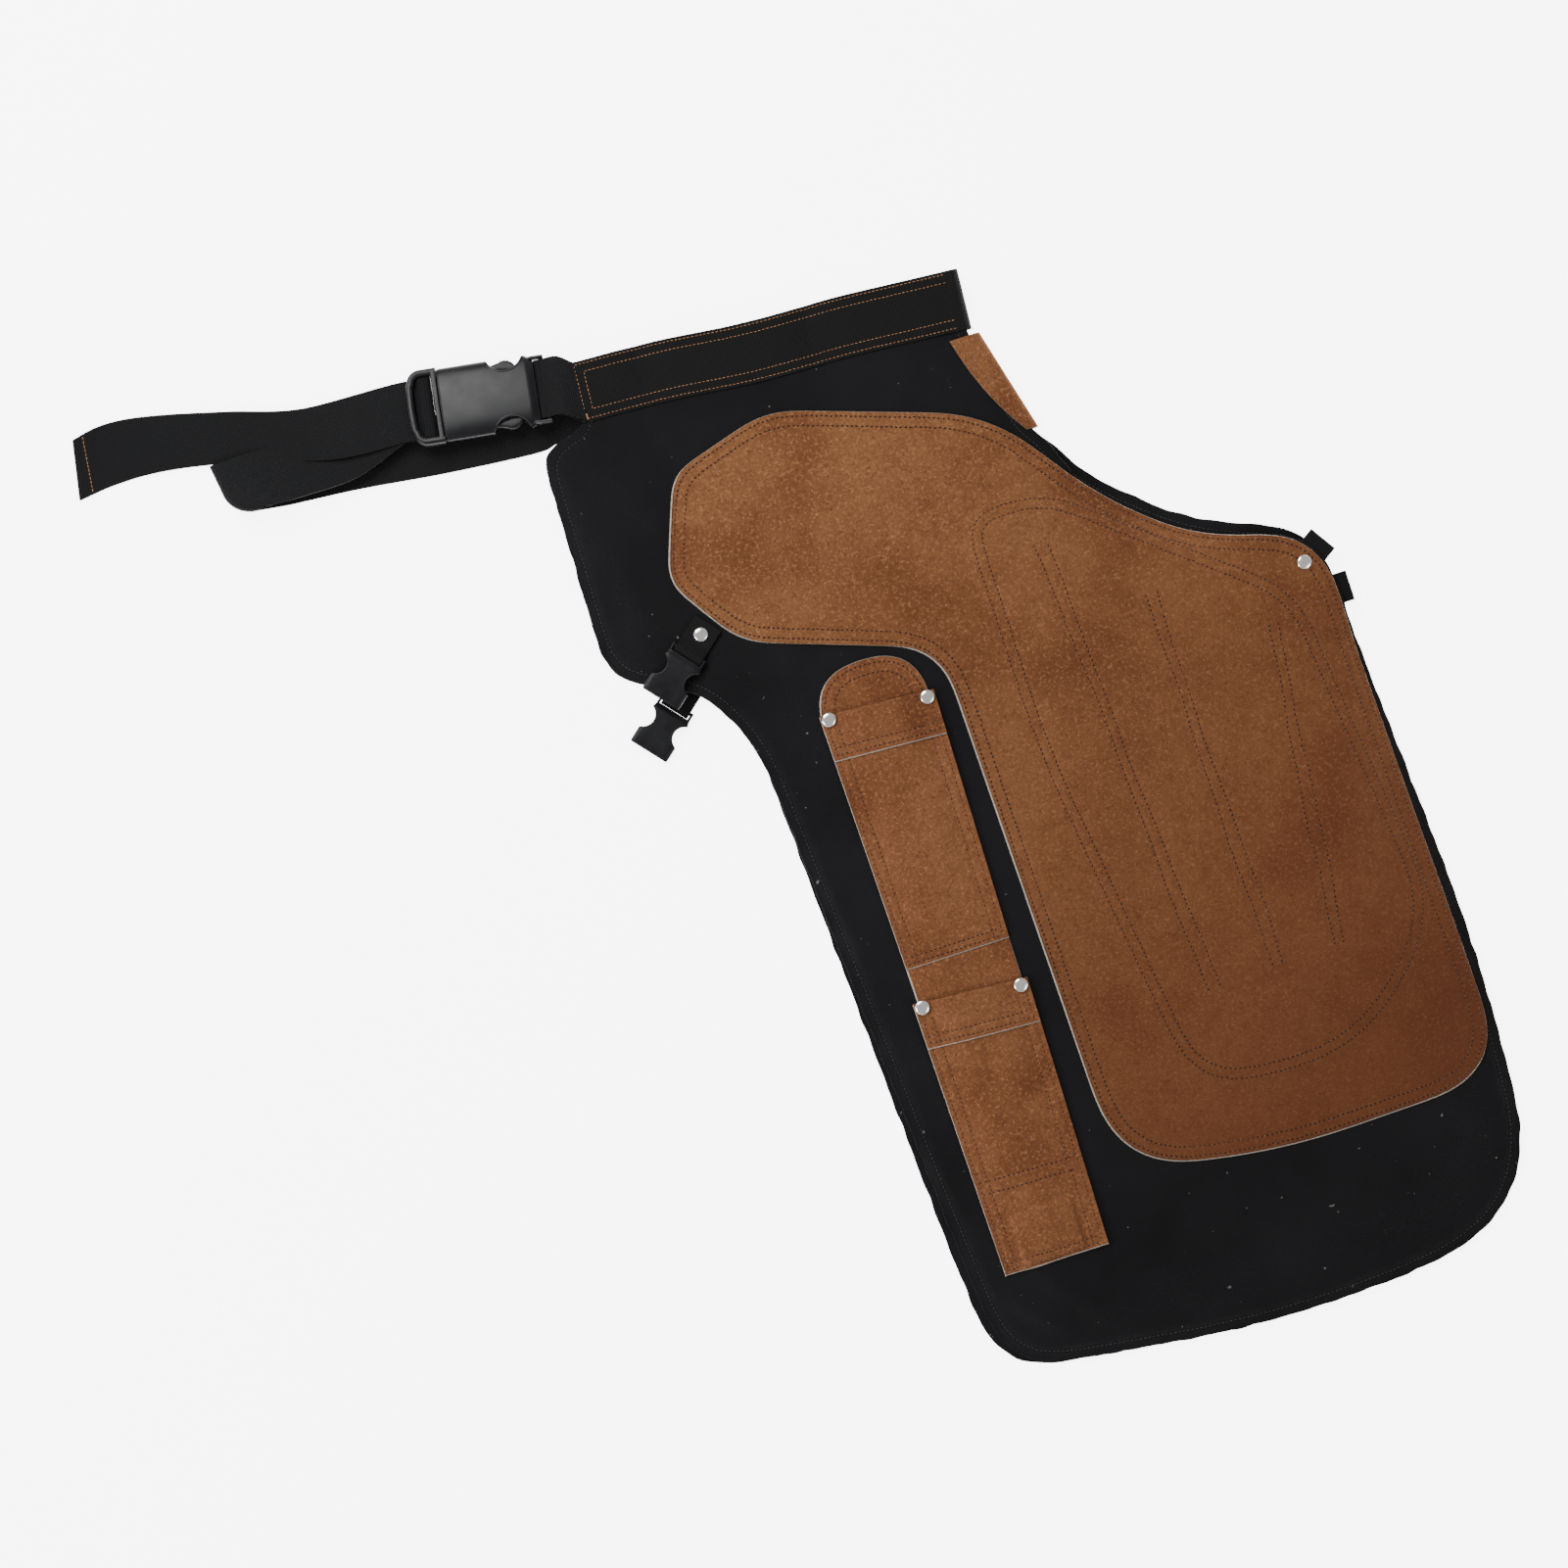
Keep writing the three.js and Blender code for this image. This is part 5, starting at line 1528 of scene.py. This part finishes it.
def slumped(co, s):
    """The standing fold has slumped: its near corner is drawn back along the belt to a
    quarter ellipse, x += R (1 - sqrt(1 - u^2)), where u runs from 0 to 1 at the near edge."""
    x = to_pattern(co[..., :2])[..., 0]
    out = smooth((SLUMP_FROM - x) / SLUMP_OVER)
    u = np.clip((-0.08 - s) / 0.42, 0, 1)[None, :]
    co = co.copy()
    co[..., 0] += SLUMP * MM * out * (1 - np.sqrt(1 - u ** 2))
    return co


plug_meets = buckle_stations([[PLUG_END + 9, -waist_wrap]])[0]
run_stations = [
    [band_end[0], band_end[1], under_band, 90 - BAND_RISE, 0],
    [-343, -6, 2.4, 88, 0], [-358, -9, floor_mm + 0.2, 91, 0], [-378, -11, floor_mm, 95, 0],
    [-452, -4, floor_mm, 97, 0], [-520, 5, floor_mm + 0.8, 97, 2], [-566, 9, floor_mm + 3.2, 98, 4],
    [-604, 11, floor_mm + 7.2, 99, 9], [-624, 12, floor_mm + 10.6, 99, 14],
    [-628, 12, floor_mm + 14.0, 99, 16], [-621, 12, floor_mm + 17.2, 99, 16],
    [-600, 12, floor_mm + 17.0, 98, 14], [-566, 12, floor_mm + 13.0, 97, 11],
    [-520, 14, floor_mm + 9.2, 93, 9], list(plug_meets),
]
belt_run, _ = belt("belt_run_webbing", run_stations, 260, None, ["belt_run"], shape=slumped)
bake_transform(belt_run)

half_base = (PLUG_START + PLUG_END) / 2
SLOT_STRETCH = 2.35
turns = np.radians([270, 235, 200, 165, 130, 95, 60])
stretch = np.where(np.cos(turns) < 0, SLOT_STRETCH, 1)
wraps = np.stack([half_base + waist_wrap * np.cos(turns) * stretch, waist_wrap * np.sin(turns)], 1)
tail_low = -waist_wrap + ply + 0.3
tail_stations = np.vstack([
    buckle_stations([[PLUG_END + 7.7, -waist_wrap]]), buckle_stations(wraps),
    buckle_stations([[half_base + 5.5, 0.2], [PLUG_END, tail_low], [PLUG_END + 10, tail_low]]),
    [[-538, 33, 12.2, 104, 6], [-596, 50, 8.4, 107, 2], [-645, 63, 4.6, 104, 0],
     [-682, 70, 2.2, 98, 0], [-712, 71, 1.8, 88, -2], [-738, 67, 4.6, 78, -5]],
])
belt_tail, tail_rows = belt("belt_tail_webbing", tail_stations, 230, "waist_plug", ["belt_tail"])

loop_top = BAND_RADIUS / MM + MID_Z / MM
turns = np.radians(np.linspace(90, -90, 9))
bar_wrap = np.stack([-WAIST["reach"] + waist_wrap * np.cos(turns) * (SLOT_STRETCH - 0.15),
                     waist_wrap * np.sin(turns)], 1)
tab_stations = np.vstack([
    [[band_end[0] + 4, band_end[1], loop_top + 0.2, 90 - BAND_RISE, 0]],
    buckle_stations([[-WAIST["reach"] - 13, waist_wrap + 2.6]]), buckle_stations(bar_wrap),
    buckle_stations([[-WAIST["reach"] - 13, -waist_wrap + 3.4]]),
    [[band_end[0] + 1, band_end[1], loop_top - ply - 0.5, 90 - BAND_RISE, 0]],
])
belt("socket_tab_webbing", tab_stations, 90, "root", ["waist_socket_tab"], BAND_WIDTH - 1 * MM)
print("belt pieces", len(belt_run.data.polygons), len(belt_tail.data.polygons), "faces")

# %% [markdown]
# A rivet is turned work: a domed cap, a shank through every layer and a washer on the far
# side. Its outline is spun round its own axis, and it sits on whatever layer it holds.

# %% Rivets
RIVET = {"cap": 6.0, "height": 2.1, "shank": 1.6, "washer": 4.0}


def rivet_shell(drop, washer=True, around=36):
    """P(k, angle) = profile radius turned about the axis. drop is how far the shank goes."""
    r = RIVET
    t = np.linspace(0, np.pi / 2, 9)
    cap = np.stack([r["cap"] * np.sin(t) ** 0.9,
                    0.35 + (r["height"] - 0.35) * np.cos(t) ** 0.8], 1)[1:]
    under = [[r["cap"] - 0.15, 0.1], [r["cap"] - 0.6, 0.0], [r["shank"], 0.0], [r["shank"], -drop]]
    if washer:
        under += [[r["washer"], -drop], [r["washer"], -drop - 0.7],
                  [r["washer"] * 0.5, -drop - 0.9]]
    profile = np.vstack([[[0.4, r["height"]]], cap, under])
    angle = np.linspace(0, 2 * np.pi, around, endpoint=False)
    points = np.stack([profile[:, :1] * np.cos(angle), profile[:, :1] * np.sin(angle),
                       np.repeat(profile[:, 1:], around, 1)], -1).reshape(-1, 3)
    return points, tube_faces(len(profile), around)


def set_rivet(node_name, xy, level, drop, way, washer=True):
    """A rivet over a place, its cap's under side at a level, pointing up or down by way."""
    points, faces = rivet_shell(drop, washer)
    points = np.stack([xy[0] + points[:, 0] * MM, xy[1] + points[:, 1] * MM,
                       level + way * points[:, 2] * MM], 1)
    made = piece(f"{node_name}_cap", points, outward_shell(points, faces), "root",
                 [NICKEL], [node_name])
    made.data.set_sharp_from_angle(angle=RIVET_CREASE)


STACK = {"top": 3 * SUEDE + 0.75 * MM, "under": SUEDE / 2 + SUEDE * 0.9}
for leg, way in OUTWARD.items():
    for number in range(1, 5):
        node_name = f"{leg}_pocket_rivet_{number}"
        xy = centre(node_name)[:2]
        level = float(backing_height(xy[None], leg)[0]) + way * STACK[leg]
        level = max(level, (RIVET["height"] + 0.15) * MM)
        drop = abs(level - panel_height(xy[None], leg)[0]) / MM + 1
        set_rivet(node_name, xy, level, drop, way)
    xy = centre(f"{leg}_tab_rivet")[:2]
    level = float(panel_height(xy[None], leg)[0]) + way * (CANVAS / 2 + 2 * WEBBING + 0.55 * MM)
    set_rivet(f"{leg}_tab_rivet", xy, level, 4.2, way)
    xy = centre(f"{leg}_strap_rivet")[:2]
    level = float(patch_height(xy[None], leg)[0]) + way * (SUEDE / 2 + 0.05 * MM)
    set_rivet(f"{leg}_strap_rivet", xy, level, 4.6, way, False)
print("rivets set")

# %% [markdown]
# Stitches are real pieces of thread: a small sausage that dips into the material at both ends, with
# a dark disc before it that is painted shade in the needle hole. One template is copied to every
# step of a row with array arithmetic, so a thousand stitches are one mesh.

# %% Stitch helper


def stitch_mesh(name, rows, radius, body, finish, gap=0.16, hole=0.0, sink=0.35):
    """Every row is an (n, 3) array of needle holes. The template's x goes from one hole to the
    next, less a gap at each end; its z is upright to the row. hole is the radius of a dark disc at
    each needle hole, which is painted shade of the hole, and sink is how high the thread lies, in
    radii."""
    starts = np.vstack([r[:-1] for r in rows])
    ends = np.vstack([r[1:] for r in rows])
    step = ends - starts
    length = np.linalg.norm(step, axis=1)
    keep = length > 0.5 * MM
    starts, step, length = starts[keep], step[keep], length[keep]
    x_way = step / length[:, None]
    y_way = np.cross([0, 0, 1.0], x_way)
    y_way /= np.linalg.norm(y_way, axis=1)[:, None]
    z_way = np.cross(x_way, y_way)
    t = np.array([gap, gap + 0.1, 0.5, 1 - gap - 0.1, 1 - gap])
    size = np.array([0.45, 0.95, 1.1, 0.95, 0.45]) * radius
    lift = np.array([-1.1, -0.1, 0.35, -0.1, -1.1]) * radius
    angle = np.linspace(0, 2 * np.pi, 6, endpoint=False)
    local_x = np.repeat(t, 6)
    local_y = (size[:, None] * np.cos(angle)).ravel()
    local_z = (size[:, None] * np.sin(angle) + lift[:, None]).ravel() + sink * radius
    points = (starts[:, None] + local_x[None, :, None] * (length[:, None, None] * x_way[:, None])
              + local_y[None, :, None] * y_way[:, None] + local_z[None, :, None] * z_way[:, None])
    many = len(starts)
    quads, first, last = tube_faces(5, 6)
    shift = (np.arange(many) * 30)[:, None, None]
    faces = [(quads[None] + shift).reshape(-1, 4), (first[None] + shift).reshape(-1, 6),
             (last[None] + shift).reshape(-1, 6)]
    points = points.reshape(-1, 3)
    finish_index = np.zeros(sum(len(f) for f in faces))
    # Painted shade: a flat dark disc at each needle hole stands for the shade inside the hole.
    if hole > 0:
        angle = np.linspace(0, 2 * np.pi, 7, endpoint=False)
        disc_x = np.concatenate([np.cos(angle) * hole, [0, 0]])
        disc_y = np.concatenate([np.sin(angle) * hole * 0.8, [0, 0]])
        disc_z = np.concatenate([np.zeros(7), [0.12 * MM, -0.3 * MM]])
        dots = (starts[:, None] + disc_x[None, :, None] * x_way[:, None]
                + disc_y[None, :, None] * y_way[:, None] + disc_z[None, :, None] * z_way[:, None])
        k = np.arange(7)
        cap = np.stack([k, (k + 1) % 7, np.full(7, 7)], 1)
        keel = np.stack([(k + 1) % 7, k, np.full(7, 8)], 1)
        base = len(points) + (np.arange(many) * 9)[:, None, None]
        extra = (np.vstack([cap, keel])[None] + base).reshape(-1, 3)
        faces.append(extra)
        points = np.vstack([points, dots.reshape(-1, 3)])
        finish_index = np.concatenate([finish_index, np.ones(len(extra))])
    return piece(name, points, faces, body, [finish, NEEDLE_HOLE_SHADE], face_material=finish_index)


def stepped(line, pitch, closed=False, jitter=0.0, seed=1):
    """The same line at even steps of about one pitch, each moved by a little hand error."""
    line = np.asarray(line, float)
    if closed:
        line = np.vstack([line, line[:1]])
    far = run_along(line)[-1]
    made = at_lengths(line, np.linspace(0, far, max(2, round(far / pitch) + 1)))
    if jitter:
        made[:, :2] += np.random.default_rng(seed).normal(0, jitter, (len(made), 2))
    return made


def inset(loop, distance_mm, soften=1.5):
    """A line inside a closed loop, each point moved in along its normal, then smoothed."""
    return even_loop(loop - outward(loop) * distance_mm * MM, len(loop), soften)


def on_surface(xy, height, lift):
    """Points of a row laid on a height function."""
    return np.concatenate([xy, (height(xy) + lift)[:, None]], 1)


DROP_FROM = 0.2


def settled(rows, *sheets):
    """Rows of needle holes dropped straight down onto the highest of the given sheets."""
    graph = bpy.context.evaluated_depsgraph_get()
    trees = [BVHTree.FromObject(sheet_piece, graph) for sheet_piece in sheets]
    made = [row.copy() for row in rows]
    for row in made:
        for point in row:
            above = Vector((point[0], point[1], DROP_FROM))
            hits = [tree.ray_cast(above, Vector((0, 0, -1)))[0] for tree in trees]
            point[2] = max((hit.z for hit in hits if hit), default=point[2])
    return made


print("stitch helper ready")

# %% [markdown]
# The wear patch has two rows inside its edge, two round the quilted oval and a pair on each
# channel. Hand-guided rows bow and their stitches are not quite even.

# %% Stitch rows on the wear patch
rows = [stepped(inset(patch_line, r), STITCH_PITCH, True, 0.18 * MM, 5 + n)
        for n, r in enumerate(PATCH_ROWS)]
rows += [stepped(inset(lining_line, r), STITCH_PITCH, True, 0.2 * MM, 15 + n)
         for n, r in enumerate(LINING_ROWS)]
for n, (start, end) in enumerate(CHANNELS):
    a, b = np.array(start, float), np.array(end, float)
    side = np.array([-(b - a)[1], (b - a)[0]]) / np.linalg.norm(b - a) * CHANNEL_GAP / 2
    t = np.linspace(0, 1, 90)[:, None]
    for way in (-1, 1):
        bow = 1.2 * np.sin(np.pi * t * 2.3 + n + way) + 0.6 * np.sin(np.pi * t * 7 + n * 2)
        line = a + t * (b - a) + way * side + bow * side / np.linalg.norm(side)
        rows.append(stepped(on_pattern(line), STITCH_PITCH * 1.05, False, 0.22 * MM,
                            30 + 2 * n + way))
laid = settled([np.concatenate([r, np.zeros((len(r), 1))], 1) for r in rows], patches["top"])
patch_stitches = stitch_mesh("wear_patch_stitches", laid, 0.30 * MM, "root", TAN_THREAD,
                             0.30, 1.1 * MM, 0.0)
print("wear patch stitches", sum(len(r) - 1 for r in laid))

# %% [markdown]
# The hems are sewn in dark thread. A pocket has two rows down each side, two on its cuff and
# two across its closed end; the lower one also has two above the magnet. The waistband is
# sewn all round twice and ends in a short zigzag bar.

# %% Stitch rows on hems, pockets, waistband and belt
dark_rows = []
for leg in ("top", "under"):
    hem = stepped(inset(panel_line[leg], HEM_ROW), 3.6 * MM, True, 0.1 * MM, 50)
    hem = on_surface(hem, hemmed(leg), CANVAS / 2 - 0.02 * MM)
    dark_rows += settled([hem], panels[leg]) if leg == "top" else [hem]
hem_stitches = stitch_mesh("hem_stitches", dark_rows, 0.26 * MM, "root", DARK_THREAD)


def front_face(which, s, d, cuff=False):
    """A point on the outer face of a top pocket front, or of its cuff."""
    xy = on_pattern(pocket_point(which, s, d))
    lift = pocket_lift(which, "top", s, np.clip(d, 0, None)) * MM
    z = (backing_height(xy, "top") + SUEDE * 1.46 + 0.2 * MM + lift
         + (SUEDE + 0.2 * MM if cuff else 0))
    return np.concatenate([xy, (z - 0.25 * MM)[:, None]], 1)


pocket_rows = []
for which, spec in POCKETS.items():
    length = spec["length"]
    for side_mm in SIDE_ROWS:
        for s0 in (side_mm / POCKET_WIDTH, 1 - side_mm / POCKET_WIDTH):
            d = np.linspace(CUFF + 1, length - 3, 80)
            pocket_rows.append(front_face(which, np.full(80, s0), d))
            d = np.linspace(14, CUFF - 2, 20)
            pocket_rows.append(front_face(which, np.full(20, s0), d, True))
    s = np.linspace(0.05, 0.95, 60)
    for from_edge, edge, on_cuff in ((CUFF_ROWS, CUFF, True), (END_ROWS, length, False)):
        for up in from_edge:
            pocket_rows.append(front_face(which, s, np.full(60, edge - up), on_cuff))
s = np.linspace(0.06, 0.94, 60)
for d0 in MAGNET_ROWS:
    pocket_rows.append(front_face("lower", s, np.full(60, float(d0))))
ABOVE_POCKET = -326
for row_mm in SIDE_ROWS:
    line = inset(backing_line, row_mm, 1.0)
    on_top = line[to_pattern(line)[:, 1] > ABOVE_POCKET]
    steps = np.diff(run_along(np.vstack([on_top, on_top[:1]])))
    on_top = np.roll(on_top, -int(np.argmax(steps)) - 1, 0)
    pocket_rows.append(on_surface(on_top, lambda xy: backing_height(xy, "top"),
                                  SUEDE * 0.45 - 0.1 * MM))
pocket_rows = [stepped(r, STITCH_PITCH, False, 0.15 * MM, 80 + n)
               for n, r in enumerate(pocket_rows)]
pocket_rows = settled(pocket_rows, backings["top"], fronts["top", "upper"], fronts["top", "lower"])
pocket_stitches = stitch_mesh("pocket_stitches", pocket_rows, 0.30 * MM, "root",
                              TAN_THREAD, 0.28, 1.0 * MM, 0.0)


def band_point(x, s):
    """A point on the waistband's upper face: x mm from the fold, s from -1/2 to 1/2."""
    xy = on_pattern(BAND_ORIGIN) + (x * MM)[:, None] * heading(180 - BAND_RISE)[:2]
    xy = xy + ((s * 50 + band_wave(x)) * MM)[:, None] * heading(90 - BAND_RISE)[:2]
    z = panel_height(xy, "top") + CANVAS / 2 + WEBBING + 0.15 * MM
    return np.concatenate([xy, z[:, None]], 1)


band_rows = []
for inset_mm in BAND_ROWS:
    x = np.linspace(12, WAIST_HALF - inset_mm - 1, 220)
    s = np.full(220, 0.5 - inset_mm / 50)
    band_rows += [band_point(x, s), band_point(x, -s)]
    s = np.linspace(-0.5 + inset_mm / 50, 0.5 - inset_mm / 50, 30)
    band_rows.append(band_point(np.full(30, WAIST_HALF - inset_mm - 1.0), s))
band_rows = settled([stepped(r, 3.4 * MM, False, 0.08 * MM, 120 + n)
                     for n, r in enumerate(band_rows)], waistband)
bartack = band_point(np.full(26, WAIST_HALF - 4.0), -0.5 + 0.04 + 0.09 * np.linspace(0, 1, 26))
zigzag = np.where(np.arange(26) % 2, 1.4, -1.4)[:, None]
bartack[:, :2] += (heading(180 - BAND_RISE)[:2] * MM) * zigzag
bartack[:, 2] += 0.2 * MM
stitch_mesh("waistband_stitches", [*band_rows, bartack], 0.24 * MM, "root",
            ORANGE_THREAD, 0.17, 0.0, 0.6)

centre_rows = []
for k in (0.12, 0.42):
    column = centre_co[2:-3, :14]
    share = k * 13
    low = int(share)
    line = column[:, low] * (1 - share + low) + column[:, low + 1] * (share - low)
    line = line + [0, 0, SUEDE * 0.45 - 0.05 * MM]
    centre_rows.append(stepped(line, STITCH_PITCH, False, 0.12 * MM, 150))
stitch_mesh("centre_patch_stitches", centre_rows, 0.3 * MM, "root", TAN_THREAD, 0.26,
            0.9 * MM, 0.0)

tail_path = np.concatenate([on_pattern(tail_rows[:, :2]), tail_rows[:, 2:3] * MM], 1)
tail_across = heading(tail_rows[:, 3], tail_rows[:, 4])
far = np.linalg.norm(tail_path - tail_path[-1], axis=1)
at = int(np.argmin(np.abs(far - 11 * MM)))
s = np.linspace(-0.46, 0.46, 40)[:, None]
tail_row = tail_path[at] + s * BAND_WIDTH * tail_across[at] + [0, 0, WEBBING / 2]
stitch_mesh("tail_hem_stitches", [stepped(tail_row, 3.4 * MM)], 0.27 * MM, "waist_plug",
            ORANGE_THREAD, 0.12, 0.0, 0.6)
print("stitch pieces done")

# %% [markdown]
# The floor is a wide pale sheet of seamless paper. It is not part of the apron.

# %% Floor
floor_points = np.array([[-6, -6, 0], [6, -6, 0], [6, 6, 0], [-6, 6, 0]], float)
floor = bare_object("floor", floor_points, [np.array([[0, 1, 2, 3]])])
paper, tree, shader = material("white_paper", Roughness=0.9, Specular_IOR_Level=0.1,
                               Emission_Color=(1, 1, 1, 1), Emission_Strength=6.0)
unevenness = noise(tree, object_place(tree), 3, 2)
tree.links.new(ramp(tree, unevenness, [(0.3, grey(0.90)), (0.7, grey(0.93))]),
               shader.inputs["Base Color"])
floor.data.materials.append(paper)

# %% [markdown]
# The length each pocket front was cut to, with its cuff, is worked out for each leg.


for leg in ("top", "under"):
    for which, spec in POCKETS.items():
        long = (spec["length"] + CUFF) * MM
